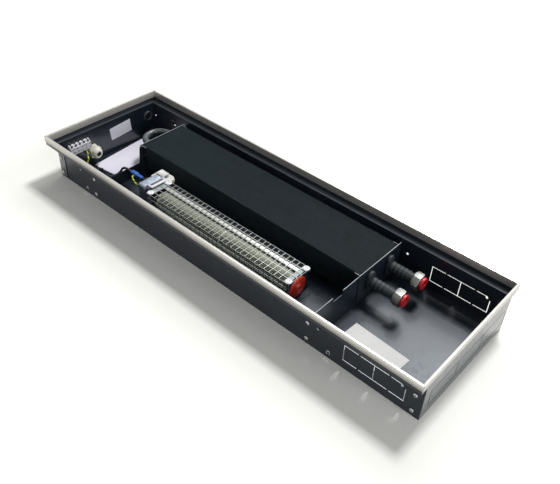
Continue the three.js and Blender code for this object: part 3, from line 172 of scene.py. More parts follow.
class TRENCH_PG_exchanger(PropertyGroup):
    fin_pitch: length("Fin pitch", "Distance from fin to fin", 2.6)
    fin_thickness: length("Fin thickness", "Thickness of one fin", 0.3)
    coating: colour("Coating", "Black coating of fins and tubes", tone(45, 57, 63))
    hose: colour("Hose", "Black sleeve of the tails", tone(40, 47, 50))
    nickel: colour("Union nuts", "Nickel plating", tone(118, 120, 118))
    plug: colour("Plugs", "Red protective plugs", tone(219, 38, 44))


class TRENCH_PG_fan(PropertyGroup):
    blades: IntProperty(name="Blades", description="Blades round the rotor", default=36, min=6)
    blade_thickness: length("Blade thickness", "Thickness of one blade", 0.6)
    guard_pitch: length("Guard pitch", "Distance from hole to hole", 12)
    guard_bar: length("Guard bar", "Width of metal between holes", 1.15)
    guard: colour("Guard", "Zinc-coated sheet", tone(166, 171, 168))
    rotor: colour("Rotor", "Bright rolled aluminium", tone(214, 215, 202))
    silicone: colour("Bearing", "Red-orange silicone", tone(222, 70, 46))
    clip: colour("Clips", "White nylon", tone(236, 236, 240))


class TRENCH_PG_wiring(PropertyGroup):
    core: colour("Motor core", "Lacquered laminations", tone(150, 160, 174))
    tape: colour("Winding", "Cream insulating tape", tone(233, 212, 176))
    grey: colour("Cable gland", "Light grey nylon", tone(222, 221, 208))
    white: colour("Terminal block", "White nylon", tone(226, 226, 232))
    blue: colour("Connector", "Blue plug and socket", tone(36, 98, 184))
    cable: colour("Cable", "Black sheath", tone(30, 30, 38))
    paper: colour("Paper", "Leaflet, label and sheet", tone(236, 233, 246))
    steel: colour("Steel", "Zinc-plated screws and straps", tone(190, 192, 194))


class TRENCH_PG_studio(PropertyGroup):
    camera_place: FloatVectorProperty(
        name="Camera", description="Place of the camera", default=(0.70298, -0.76221, 0.8747),
        subtype="TRANSLATION", unit="LENGTH")
    camera_turn: FloatVectorProperty(
        name="Camera angles", description="Heading, dip and roll of the camera",
        default=(-0.696079, 0.699835, 0.054636), subtype="EULER")
    lens: FloatProperty(name="Lens", description="Focal length", default=43.64, unit="CAMERA")
    sky: FloatProperty(name="Sky", description="Level of the studio's fill light", default=0.17)
    key: FloatProperty(name="Key", description="Power of the overhead softbox", default=165,
                       unit="POWER")
    key_place: FloatVectorProperty(
        name="Softbox", description="Place of the overhead softbox", default=(-0.05, 2.45, 4.33),
        subtype="TRANSLATION", unit="LENGTH")
    key_size: FloatProperty(name="Softbox side", description="Width of the softbox",
                            default=0.85, unit="LENGTH")
    back: FloatProperty(name="Back", description="Power of the wide softbox behind", default=46,
                        unit="POWER")
    fill: FloatProperty(name="Fill", description="Power of the softbox on the right", default=48,
                        unit="POWER")


# ---- Shader expressions -------------------------------------------------------------------


class Tap:
    """One output socket of a material, usable in Python arithmetic."""

    def __init__(self, finish, socket):
        self.finish = finish
        self.socket = socket

    def math(self, operation, *values):
        return self.finish.node("ShaderNodeMath", {"operation": operation},
                                dict(enumerate(values)))

    def __add__(self, other):
        return self.math("ADD", self, other)

    def __sub__(self, other):
        return self.math("SUBTRACT", self, other)

    def __rsub__(self, other):
        return self.math("SUBTRACT", other, self)

    def __mul__(self, other):
        return self.math("MULTIPLY", self, other)

    def absolute(self):
        return self.math("ABSOLUTE", self)

    def fraction(self):
        return self.math("FRACT", self)

    def larger(self, other):
        return self.math("MAXIMUM", self, other)

    def spread(self, low, high):
        """Maps 0 to 1 onto low to high."""
        return self * (high - low) + low

    def above(self, edge, soft):
        """0 below the edge, 1 above it, with a soft step between."""
        return self.finish.node(
            "ShaderNodeMapRange", {"interpolation_type": "SMOOTHSTEP", "clamp": True},
            {"Value": self, "From Min": edge - soft, "From Max": edge + soft})


class Tree:
    """The node tree of a material or a world."""

    def __init__(self, owner):
        owner.use_nodes = True
        self.tree = owner.node_tree

    def node(self, kind, settings=None, values=None, output=0):
        made = self.tree.nodes.new(kind)
        for key, value in (settings or {}).items():
            setattr(made, key, value)
        for key, value in (values or {}).items():
            if isinstance(value, Tap):
                self.tree.links.new(value.socket, made.inputs[key])
            else:
                made.inputs[key].default_value = value
        return Tap(self, made.outputs[output])

    def seen(self):
        """1 for rays that see a thing directly, in a gloss or through something; 0 for light."""
        rays = self.node("ShaderNodeLightPath").socket.node.outputs
        camera, glossy, through = (
            Tap(self, rays[f"Is {kind} Ray"]) for kind in ("Camera", "Glossy", "Transmission"))
        return camera.larger(glossy).larger(through)


class Finish(Tree):
    """A procedural material on one Principled surface."""

    def __init__(self, name, **values):
        self.material = bpy.data.materials.new(name)
        super().__init__(self.material)
        self.surface = self.tree.nodes["Principled BSDF"]
        self.place = self.node("ShaderNodeTexCoord", output="Object")
        for socket, value in values.items():
            self.surface.inputs[socket.replace("_", " ")].default_value = value

    def split(self):
        made = self.node("ShaderNodeSeparateXYZ", values={0: self.place})
        return [Tap(self, made.socket.node.outputs[axis]) for axis in "XYZ"]

    def base(self):
        """The base colour as it stands, for a further layer over it."""
        return Tap(self, self.surface.inputs["Base Color"].links[0].from_socket)

    def scaled(self, x, y, z):
        """Object coordinates stretched along each axis."""
        return self.node("ShaderNodeMapping", {"vector_type": "POINT"},
                         {"Vector": self.place, "Scale": (x, y, z)})

    def noise(self, scale, detail=2.0, roughness=0.5, vector=None):
        return self.node("ShaderNodeTexNoise", values={
            "Vector": vector or self.place, "Scale": scale, "Detail": detail,
            "Roughness": roughness})

    def mix(self, factor, first, second):
        """Blends two colours; the sockets of an RGBA Mix node are 0, 6 and 7."""
        pair = {}
        for index, shade in ((6, first), (7, second)):
            pair[index] = shade if isinstance(shade, Tap) else (*shade[:3], 1)
        return self.node("ShaderNodeMix", {"data_type": "RGBA", "clamp_factor": True},
                         {0: factor, **pair}, output=2)

    def feed(self, socket, tap):
        self.tree.links.new(tap.socket, self.surface.inputs[socket])

    def bump(self, height, distance, strength):
        self.feed("Normal", self.node("ShaderNodeBump", values={
            "Height": height, "Distance": distance, "Strength": strength}))

    def coat(self, colour=None, roughness=None, bump=None):
        """Feeds a mix of two colours, a range of roughness and a bump."""
        if colour:
            self.feed("Base Color", self.mix(*colour))
        if roughness:
            level, low, high = roughness
            self.feed("Roughness", level.spread(low, high))
        if bump:
            self.bump(*bump)
        return self


def darker(shade, factor):
    return tuple(value * factor for value in shade)


def powder_coat(name, paint, worn, roughness=0.3, gloss=0.12):
    """Semi-gloss powder coat with orange peel, a film of dust and faint handling marks."""
    finish = Finish(name, Metallic=0.0, IOR=1.5, Specular_Tint=(0.88, 0.94, 1.0, 1.0),
                    Coat_Weight=gloss, Coat_Roughness=0.12)
    broad = finish.noise(7, 4, 0.6)
    marks = finish.noise(60, 5, 0.7)
    dust = broad.above(0.56, 0.12) * marks.above(0.5, 0.18)
    peel = finish.noise(700) * 0.6 + finish.noise(2200, 1) * 0.4
    return finish.coat((dust * 0.55, paint, worn),
                       (dust * 0.6 + marks * 0.3, roughness, roughness + 0.2),
                       (peel, 0.00008, 0.55))


def brushed(name, shade, axis, roughness=0.32, metallic=0.85):
    """Metal with drawing lines along one axis."""
    finish = Finish(name)
    stretch = [1400.0, 1400.0, 1400.0]
    stretch[axis] = 6.0
    lines = finish.noise(1, 3, 0.6, finish.scaled(*stretch))
    cloud = finish.noise(18, 4, 0.6)
    finish.feed("Metallic", cloud.spread(metallic - 0.1, metallic + 0.05))
    return finish.coat((lines * 0.5 + cloud * 0.3, shade, darker(shade, 0.78)),
                       (lines, roughness - 0.08, roughness + 0.12), (lines, 0.00003, 0.5))


def zinc(name, shade):
    """Zinc-coated sheet with a soft spangle."""
    finish = Finish(name, Metallic=0.7)
    cells = finish.node("ShaderNodeTexVoronoi", {"feature": "F1"},
                        {"Vector": finish.place, "Scale": 160.0, "Randomness": 1.0}, "Color")
    level = finish.node("ShaderNodeRGBToBW", values={0: cells})
    cloud = finish.noise(35, 4, 0.6)
    return finish.coat((level * 0.45 + cloud * 0.35, shade, darker(shade, 0.72)),
                       (level * 0.5 + cloud * 0.5, 0.28, 0.5),
                       (finish.noise(900), 0.00002, 0.5))


def plated(name, shade, roughness=0.2):
    """Plated metal with fine turning marks and slight tarnish."""
    finish = Finish(name, Metallic=1.0)
    cloud = finish.noise(70, 4, 0.65)
    fine = finish.noise(1, 2, 0.5, finish.scaled(3000, 160, 160))
    tarnish = tuple(value * factor for value, factor in zip(shade, (0.66, 0.62, 0.56)))
    return finish.coat((cloud.above(0.58, 0.2) * 0.6, shade, tarnish),
                       (cloud * 0.5 + fine * 0.5, roughness, roughness + 0.22),
                       (fine * 0.6 + cloud * 0.4, 0.00002, 0.5))


def moulded(name, shade, roughness, change):
    """Moulded plastic with a fine spark texture and slight shade changes."""
    finish = Finish(name, IOR=1.48)
    cloud = finish.noise(40, 4, 0.6)
    fine = finish.noise(900)
    return finish.coat((cloud * 0.7 + fine * 0.3, shade, darker(shade, 1 - 2 * change)),
                       (fine * 0.6 + cloud * 0.4, roughness, roughness + 0.16),
                       (fine, 0.00003, 0.5))


def fin_coating(name, shade):
    """Matt black coating, greyer with dust on upward edges."""
    finish = Finish(name, IOR=1.5)
    high = finish.split()[2].above(FIN_DUST_HEIGHT * MM, 0.0006)
    streak = finish.noise(1, 4, 0.65, finish.scaled(9, 150, 30))
    cloud = finish.noise(1, 3, 0.6, finish.scaled(30, 12, 30))
    fine = finish.noise(600, 3, 0.6)
    dust = high * (streak.above(0.52, 0.2) * 0.55 + cloud.above(0.5, 0.25) * 0.35)
    return finish.coat((dust, shade, darker(shade, 2.1)), (fine, 0.42, 0.62),
                       (fine, 0.00004, 0.5))


def plate_paint(name, paint, worn, node):
    """Powder coat with a painted highlight along the top edge of a plate, broken up by noise."""
    finish = powder_coat(name, paint, worn)
    edge = finish.split()[2].above(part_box(node)[1].z - 0.0002, 0.0001)
    # Painted highlight: the plate's top edge is painted light grey in patches, for the light it
    # catches.
    painted_edge_highlight = edge * finish.noise(90, 3, 0.6).above(0.35, 0.15).spread(0.55, 1.0)
    return finish.coat((painted_edge_highlight, finish.base(), tone(170, 180, 180)))


def laminated(name, shade):
    """A stack of thin lacquered sheets, edge on."""
    finish = Finish(name, Metallic=0.55, Roughness=0.42)
    line = (finish.split()[0] * (1 / (LAMINATION * MM))).fraction().above(0.82, 0.1)
    cloud = finish.noise(90, 4, 0.6)
    return finish.coat((line * 0.7 + cloud * 0.25, shade, darker(shade, 0.5)),
                       bump=(1 - line, 0.0001, 0.6))


def winding_tape(name, shade):
    """Overlapping turns of cream tape with amber varnish in the folds."""
    finish = Finish(name, IOR=1.5)
    lap = (finish.split()[2] * (1 / (TAPE_LAP * MM))).fraction()
    stain = finish.noise(120, 4, 0.6).above(0.52, 0.16)
    return finish.coat((lap.above(0.86, 0.1) * 0.55 + stain * 0.35, shade, tone(196, 132, 70)),
                       (stain, 0.35, 0.6), (lap + finish.noise(800) * 0.2, 0.0003, 0.6))


def paper_stock(name, shade):
    """Uncoated paper with fibres and soft cockles."""
    finish = Finish(name, IOR=1.4)
    fibre = finish.noise(1500, 3, 0.6)
    cloud = finish.noise(22, 3, 0.5)
    return finish.coat((cloud * 0.6 + fibre * 0.4, shade, darker(shade, 0.86)),
                       (fibre, 0.7, 0.9), (cloud * 0.8 + fibre * 0.2, 0.0006, 0.35))


def two_tone_wire(name):
    """Green insulation with a yellow stripe that winds round it."""
    finish = Finish(name, IOR=1.48)
    stripe = finish.node("ShaderNodeAttribute", {"attribute_name": "stripe"}, output="Fac")
    fine = finish.noise(1200)
    return finish.coat((stripe.above(0.5, 0.1), tone(226, 205, 52), tone(44, 134, 62)),
                       (fine, 0.38, 0.52), (fine, 0.00002, 0.4))


# ---- Mesh helpers -------------------------------------------------------------------------


def mesh_of(name, part):
    """Turns a bmesh into a mesh and frees it."""
    mesh = bpy.data.meshes.new(name)
    part.to_mesh(mesh)
    part.free()
    return mesh


def add(target, part):
    """Moves one bmesh into another."""
    mesh = mesh_of("carried", part)
    target.from_mesh(mesh)
    bpy.data.meshes.remove(mesh)


def linked(name, data):
    """A scene object of some data."""
    made = bpy.data.objects.new(name, data)
    bpy.context.scene.collection.objects.link(made)
    return made


def shift(*place):
    return Matrix.Translation(place)


def turn(angle, axis):
    return Matrix.Rotation(angle, 4, axis)


def moved(part, matrix, verts=None):
    """Moves a bmesh, or some of its vertices, by a matrix."""
    bmesh.ops.transform(part, verts=verts or part.verts, matrix=matrix)
    return part


def drawn(part, edges, reach):
    """Extrudes edges along a vector, and gives the new edges and vertices."""
    made = bmesh.ops.extrude_edge_only(part, edges=edges)["geom"]
    edges = [item for item in made if isinstance(item, bmesh.types.BMEdge)]
    verts = [item for item in made if isinstance(item, bmesh.types.BMVert)]
    bmesh.ops.translate(part, vec=reach, verts=verts)
    return edges, verts


def sliced(part, place, normal, **sides):
    """Cuts a bmesh's faces along a plane; both sides stay unless one is cleared."""
    bmesh.ops.bisect_plane(part, geom=part.verts[:] + part.edges[:] + part.faces[:],
                           plane_co=place, plane_no=normal, **sides)


def closed(part):
    """Points the faces outwards."""
    bmesh.ops.recalc_face_normals(part, faces=part.faces)
    return part


def thicken(part, wall):
    bmesh.ops.solidify(part, geom=list(part.faces), thickness=wall)


def block(low, high, rounding=0.0, segments=2):
    """A box between two corners, its edges rounded."""
    part = bmesh.new()
    low, high = Vector(low), Vector(high)
    size = Matrix.Diagonal((*(high - low), 1))
    bmesh.ops.create_cube(part, size=1, matrix=shift(*(low + high) / 2) @ size)
    if rounding:
        round_edges(part, part.edges, rounding, segments)
    return part


def grid(columns, rows, length, width, matrix):
    """A flat grid of cells, moved by a matrix from the origin."""
    part = bmesh.new()
    bmesh.ops.create_grid(part, x_segments=columns, y_segments=rows, size=0.5)
    return moved(part, matrix @ Matrix.Diagonal((length, width, 1, 1)))


def round_edges(part, edges, width, segments=2):
    bmesh.ops.bevel(part, geom=list(edges), offset=width, segments=segments, profile=0.5,
                    affect="EDGES", clamp_overlap=True, material=-1)


def turned(profile, centre, steps=48, axis="X"):
    """A profile of (along, radius) pairs spun about an axis through the centre."""
    part = bmesh.new()
    verts = [part.verts.new((along, radius, 0)) for along, radius in profile]
    edges = [part.edges.new(pair) for pair in zip(verts, verts[1:])]
    bmesh.ops.spin(part, geom=verts + edges, cent=(0, 0, 0), axis=(1, 0, 0),
                   angle=2 * math.pi, steps=steps, use_merge=True)
    bmesh.ops.remove_doubles(part, verts=part.verts, dist=0.0005)
    swing = {"X": Matrix(), "Y": turn(math.pi / 2, "Z"), "Z": turn(-math.pi / 2, "Y")}[axis]
    return moved(closed(part), shift(*centre) @ swing)


def ring(points, radius, centre, steps):
    """A closed section, its corners rounded, spun about X through the centre."""
    section = rounded(points, radius)
    return turned([*section, section[0]], centre, steps)


def rounded(points, radius=0.5, steps=3):
    """A profile with each inner corner replaced by a small curve."""
    result = [points[0]]
    for before, corner, after in zip(points, points[1:], points[2:]):
        corner = Vector(corner)
        to_before = Vector(before) - corner
        to_after = Vector(after) - corner
        reach = min(radius, to_before.length / 2.2, to_after.length / 2.2)
        start = corner + to_before.normalized() * reach
        end = corner + to_after.normalized() * reach
        for i in range(steps + 1):
            t = i / steps
            result.append(tuple((1 - t) ** 2 * start + 2 * t * (1 - t) * corner + t * t * end))
    result.append(points[-1])
    return result


def smooth_path(points, per_span=8):
    """Points of a smooth curve through the given ones."""
    places = [Vector(point) for point in points]
    ends = [2 * places[0] - places[1], *places, 2 * places[-1] - places[-2]]
    result = []
    for a, b, c, d in zip(ends, ends[1:], ends[2:], ends[3:]):
        for i in range(per_span):
            t = i / per_span
            result.append(0.5 * (2 * b + (c - a) * t + (2 * a - 5 * b + 4 * c - d) * t ** 2
                                 + (3 * b - a - 3 * c + d) * t ** 3))
    result.append(places[-1])
    return result


def tube(path, radius, sides=16, twist=0.0):
    """A round tube along a path, closed at both ends; twist is in turns of the stripe layer."""
    part = bmesh.new()
    stripe = part.verts.layers.float.new("stripe")
    tangents = [(b - a).normalized() for a, b in zip(path, path[1:])]
    tangents.append(tangents[-1])
    start = shift(*path[0]) @ tangents[0].to_track_quat("Z", "Y").to_matrix().to_4x4()
    first = bmesh.ops.create_circle(part, segments=sides, radius=radius, matrix=start)["verts"]
    edges = list(part.edges)
    for i, (place, tangent) in enumerate(zip(path[1:], tangents[1:]), 1):
        edges, last = drawn(part, edges, (0, 0, 0))
        swing = tangents[i - 1].rotation_difference(tangent).to_matrix().to_4x4()
        moved(part, shift(*place) @ swing @ shift(*-path[i - 1]), last)
        for k, vert in enumerate(last):
            vert[stripe] = float(((k / sides + twist * i / len(path)) % 1) < 0.45)
    for end in (first, last):
        bmesh.ops.contextual_create(part, geom=end)
    return closed(part)


def cad_copy(node, width=0.0, segments=2, angle=30.0):
    """A CAD node's mesh, merged and flattened, with its sharp edges rounded."""
    part = bmesh.new()
    part.from_mesh(frame["nodes"][node].data)
    bmesh.ops.scale(part, vec=(1 / MM,) * 3, verts=part.verts)
    bmesh.ops.remove_doubles(part, verts=part.verts, dist=0.002)
    bmesh.ops.dissolve_limit(part, angle_limit=math.radians(1), verts=part.verts,
                             edges=part.edges)
    if width:
        round_edges(part, sharp_edges(part, angle), width, segments)
    return part


def sharp_edges(part, angle):
    return [edge for edge in part.edges
            if len(edge.link_faces) == 2 and edge.calc_face_angle(0) > math.radians(angle)]


def slab(node, bottom, top):
    """The part of a CAD node between two heights, closed where it is cut."""
    part = cad_copy(node)
    for height, keep_below in ((bottom, False), (top, True)):
        sliced(part, (0, 0, height), (0, 0, 1), clear_outer=keep_below,
               clear_inner=not keep_below)
        rim = [edge for edge in part.edges if edge.is_boundary]
        if rim:
            bmesh.ops.triangle_fill(part, use_beauty=True, use_dissolve=False, edges=rim)
    return closed(part)


def put(name, part, finish, body="casing", smooth=35.0):
    """Makes an object of a bmesh in millimetres, parented to the empty of a body."""
    bmesh.ops.scale(part, vec=(MM,) * 3, verts=part.verts)
    mesh = mesh_of(name, part)
    mesh.shade_smooth()
    mesh.set_sharp_from_angle(angle=math.radians(smooth))
    mesh.materials.append(finish.material)
    made = linked(name, mesh)
    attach(made, body)
    return made


def piece(name, part, finish, node, body="casing", smooth=35.0):
    """Puts an object that also stands for the CAD node."""
    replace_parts(put(name, part, finish, body, smooth), node)


def dress(finish, *nodes):
    """Puts a finish on CAD nodes that keep their shape."""
    for node in nodes:
        materials = frame["nodes"][node].data.materials
        materials.clear()
        materials.append(finish.material)


# ---- Casing -------------------------------------------------------------------------------


class TRENCH_OT_casing(Operator):
    """Paints the tray, its end plates and the cross plates"""

    bl_idname = "trench.casing"
    bl_label = "Tray and plates"

    def execute(self, context):
        sizes = context.scene.trench_casing
        paint, worn = sizes.paint, sizes.paint_worn
        dress(self.cut_windows(paint, worn), "tray")
        dress(powder_coat("end_paint", paint, worn, 0.26, 0.8), "left_end_plate",
              "right_end_plate")
        for name, plate in (("cross_plate_paint", "cross_plate"),
                            ("end_plate_paint", "exchanger_end_plate")):
            dress(plate_paint(name, paint, worn, f"{plate}_right"), f"{plate}_left",
                  f"{plate}_right")
        return {"FINISHED"}

    @staticmethod
    def cut_windows(paint, worn):
        """The tray's paint, with a painted highlight on the faces where the windows cut through
        the long walls.
        """
        finish = powder_coat("tray_paint", paint, worn)
        _, y, z = finish.split()
        depth = y.absolute()
        inner, outer = WALL_FACES[0] * MM, WALL_FACES[1] * MM
        skin, soft = 0.00012, 0.00003
        within = depth.above(inner + skin, soft) * (1 - depth.above(outer - skin, soft))
        # Painted highlight: the slots' cut faces within the wall's thickness are painted light
        # grey.
        painted_slot_highlight = within * (1 - z.above(0.06, 0.0001)) * z.above(0.003, 0.0001)
        return finish.coat((painted_slot_highlight * 0.9, finish.base(), tone(214, 216, 216)))


class TRENCH_OT_edge_frame(Operator):
    """Makes the four mitred aluminium profiles round the tray's edge"""

    bl_idname = "trench.edge_frame"
    bl_label = "Edge profiles"

    def execute(self, context):
        sizes = context.scene.trench_casing
        shade = sizes.frame
        along_x = brushed("profile_long", shade, 0, 0.34, 0.7)
        along_y = brushed("profile_short", shade, 1, 0.46, 0.45)
        for side, finish in (("near", along_x), ("far", along_x),
                             ("left", along_y), ("right", along_y)):
            node = f"frame_{side}"
            part = cad_copy(node, sizes.frame_bevel / MM, 2, 20)
            piece(f"edge_profile_{side}", part, finish, node)
        return {"FINISHED"}


# ---- Heat exchanger -----------------------------------------------------------------------


class TRENCH_OT_fins(Operator):
    """Makes the close-set fins, their tubes and the return bends"""

    bl_idname = "trench.fins"
    bl_label = "Fin pack"

    def execute(self, context):
        sizes = context.scene.trench_exchanger
        finish = fin_coating("fin_coating", sizes.coating)
        low, high = node_box("fin_pack")
        first = node_box("cross_plate_left")[0].x + 1.5
        last = node_box("cross_plate_right")[1].x - 1.5
        pitch = sizes.fin_pitch / MM
        half = sizes.fin_thickness / MM / 2
        count = int((last - first) / pitch)
        fins = bmesh.new()
        for i in range(count + 1):
            x = first + half + i * (last - first - 2 * half) / count
            add(fins, block((x - half, low.y, low.z), (x + half, high.y, high.z)))
        for y in TUBE_YS:
            for z in TUBE_ROWS:
                add(fins, turned([(low.x, 0), (low.x, TUBE_R), (high.x, TUBE_R), (high.x, 0)],
                                 (0, y, z), 24))
        piece("fins_and_tubes", fins, finish, "fin_pack")
        tubes = powder_coat("tube_paint", tone(52, 58, 60), tone(120, 132, 130), 0.22)
        for name, z in (("lower", TUBE_ROWS[0]), ("upper", TUBE_ROWS[1])):
            node = f"return_bend_{name}"
            right = node_box(node)[1].x
            near, far = TUBE_YS
            radius = (far - near) / 2
            path = [(right, far), (right - 2, far)]
            for i in range(25):
                angle = math.pi * (0.5 + i / 24)
                path.append((right - 4 + radius * math.cos(angle),
                             near + radius + radius * math.sin(angle)))
            path += [(right - 2, near), (right, near)]
            bend = tube([Vector((*point, z)) for point in path], TUBE_R, 28)
            for y in TUBE_YS:
                collar = rounded([(right - 5, TUBE_R - 0.5), (right - 5, TUBE_R + 0.7),
                                  (right, TUBE_R + 0.7), (right, TUBE_R - 0.5)], 0.4)
                add(bend, turned(collar, (0, y, z), 28))
            piece(f"bend_{name}", bend, tubes, node)
        return {"FINISHED"}


class TRENCH_OT_connections(Operator):
    """Makes the ribbed tails, the union nuts and the red plugs"""

    bl_idname = "trench.connections"
    bl_label = "Connections"

    def execute(self, context):
        sizes = context.scene.trench_exchanger
        hose = moulded("hose_rubber", sizes.hose, 0.5, 0.1)
        nickel = plated("nickel_plating", sizes.nickel)
        red = moulded("plug_plastic", sizes.plug, 0.32, 0.1)
        for side, y in zip(("near", "far"), TUBE_YS):
            piece(f"ribbed_tail_{side}", self.tail(side, y), hose, f"tail_{side}")
            nut, plug = f"union_nut_{side}", f"plug_{side}"
            piece(f"{nut}_plated", cad_copy(nut, 0.4, angle=25), nickel, nut, f"nut_{side}")
            piece(f"{plug}_moulded", self.plug(side, y), red, plug, plug)
        return {"FINISHED"}

    @staticmethod
    def tail(side, y):
        """A rounded manifold with a ribbed hose that ends in a collar."""
        low, high = node_box(f"tail_{side}")
        front = low.x + MANIFOLD_DEPTH
        half = MANIFOLD_WIDTH / 2
        part = bmesh.new()
        disc = bmesh.ops.create_circle(part, cap_ends=True, segments=40, radius=half,
                                       matrix=turn(math.pi / 2, "Y"))["verts"]
        straight = (high.z - low.z) / 2 - half
        for vert in disc:
            vert.co.z += math.copysign(straight, vert.co.z) if abs(vert.co.z) > 1e-4 else 0
            vert.co += Vector((low.x, y, (low.z + high.z) / 2))
        made = bmesh.ops.extrude_face_region(part, geom=list(part.faces))["geom"]
        face = [item for item in made if isinstance(item, bmesh.types.BMVert)]
        moved(part, shift(MANIFOLD_DEPTH, 0, 0), face)
        rim = [edge for edge in closed(part).edges if edge.calc_face_angle(0) > 1.2]
        round_edges(part, rim, 1.6, 3)
        neck = TAIL_NECK_R + 0.7
        ribs = [(front - 3, 0), (front - 3, neck)]
        for i in range(TAIL_RIBS):
            start = front + (i + 0.15) * TAIL_RIB_PITCH
            for k in range(7):
                t = k / 6
                swell = math.sin(math.pi * t) ** 0.8
                ribs.append((start + 0.75 * t * TAIL_RIB_PITCH,
                             neck + (TAIL_RIB_R - neck) * swell))
        collar = high.x - COLLAR_LENGTH
        ribs += rounded([(collar - 8, TAIL_NECK_R), (collar, TAIL_NECK_R), (collar, COLLAR_R),
                         (high.x, COLLAR_R), (high.x, TAIL_BORE_R), (front, TAIL_BORE_R)], 0.6)
        ribs.append((front, 0))
        add(part, turned(ribs, (0, y, TAIL_Z), 48))
        return part

    @staticmethod
    def plug(side, y):
        """A round plug whose recess holds three webs."""
        low, high = node_box(f"plug_{side}")
        reach = (high.z - low.z) / 2
        seat = high.x - 5
        profile = rounded([
            (low.x, 0), (low.x, reach - 1.8), (seat, reach - 1.8), (seat, reach),
            (high.x, reach - 0.6), (high.x, 7.6), (high.x - 1, 6.6), (seat + 1.2, 6.2),
            (seat + 1, 0)], 0.7)
        part = turned(profile, (0, y, TAIL_Z), 48)
        for i in range(3):
            web = block((seat + 1, -0.7, 0.4), (high.x - 1.4, 0.7, 6.6), 0.25)
            add(part, moved(web, shift(0, y, TAIL_Z) @ turn(i * 2 * math.pi / 3, "X")))
        return part


# ---- Fan ----------------------------------------------------------------------------------


class TRENCH_OT_rotor(Operator):
    """Makes the fan's bladed rotor, its shaft and the silicone bearing"""

    bl_idname = "trench.rotor"
    bl_label = "Fan rotor"

    def execute(self, context):
        sizes = context.scene.trench_fan
        bright = brushed("blade_aluminium", sizes.rotor, 0, 0.38, 0.85)
        piece("rotor_blades", self.rotor(sizes), bright, "impeller", "rotor")
        low, high = node_box("fan_shaft")
        profile = rounded([(low.x, 0), (low.x, 3), (high.x, 3), (high.x, 0)], 0.5)
        steel = brushed("shaft_steel", tone(196, 197, 199), 0, 0.22, 0.95)
        piece("rotor_shaft", turned(profile, FAN_AXIS, 32), steel, "fan_shaft", "rotor")
        silicone = moulded("bearing_silicone", sizes.silicone, 0.34, 0.14)
        piece("bearing_cup", self.bearing(), silicone, "silicone_bearing")
        return {"FINISHED"}

    @staticmethod
    def rotor(sizes):
        """Three discs with curved, slightly twisted blades between them."""
        low, high = node_box("impeller")
        radius = (high.z - low.z) / 2
        part = bmesh.new()
        for x in (low.x, (low.x + high.x - DISC) / 2, high.x - DISC):
            section = [(x, 3.4), (x, radius), (x + DISC, radius), (x + DISC, 3.4)]
            add(part, ring(section, 0.4, FAN_AXIS, 64))
        blade = bmesh.new()
        steps, spans = 5, 6
        line = []
        for i in range(steps + 1):
            t = i / steps
            reach = radius - 6 + 5.2 * t
            sweep = -0.33 * math.sin(t * math.pi * 0.6)
            line.append(blade.verts.new((low.x + 1, reach * math.cos(sweep),
                                         reach * math.sin(sweep))))
        edges = [blade.edges.new(pair) for pair in zip(line, line[1:])]
        for _ in range(spans):
            edges, verts = drawn(blade, edges, ((high.x - low.x - 2) / spans, 0, 0))
            moved(blade, turn(math.radians(1.6), "X"), verts)
        thicken(blade, sizes.blade_thickness / MM)
        mesh = mesh_of("one_blade", closed(blade))
        for i in range(sizes.blades):
            one = bmesh.new()
            one.from_mesh(mesh)
            add(part, moved(one, shift(*FAN_AXIS) @ turn(2 * math.pi * i / sizes.blades, "X")))
        bpy.data.meshes.remove(mesh)
        return part

    @staticmethod
    def bearing():
        """A cup of soft rubber with three folds round the shaft."""
        low, high = node_box("silicone_bearing")
        reach = (high.y - low.y) / 2
        face = high.x - 5
        points = [(low.x, 3.4), (low.x, reach - 3), (face, reach - 3), (face, reach),
                  (face + 2, reach - 2)]
        for fold in (19, 15.5, 12):
            points += [(face + 2.6, fold + 0.6), (face + 0.4, fold - 0.4),
                       (face + 0.4, fold - 1.6), (face + 2.6, fold - 2.4)]
        points += [(face + 1.8, 8.6), (high.x, 6), (high.x, 3.4)]
        return ring(points, 0.5, FAN_AXIS, 64)


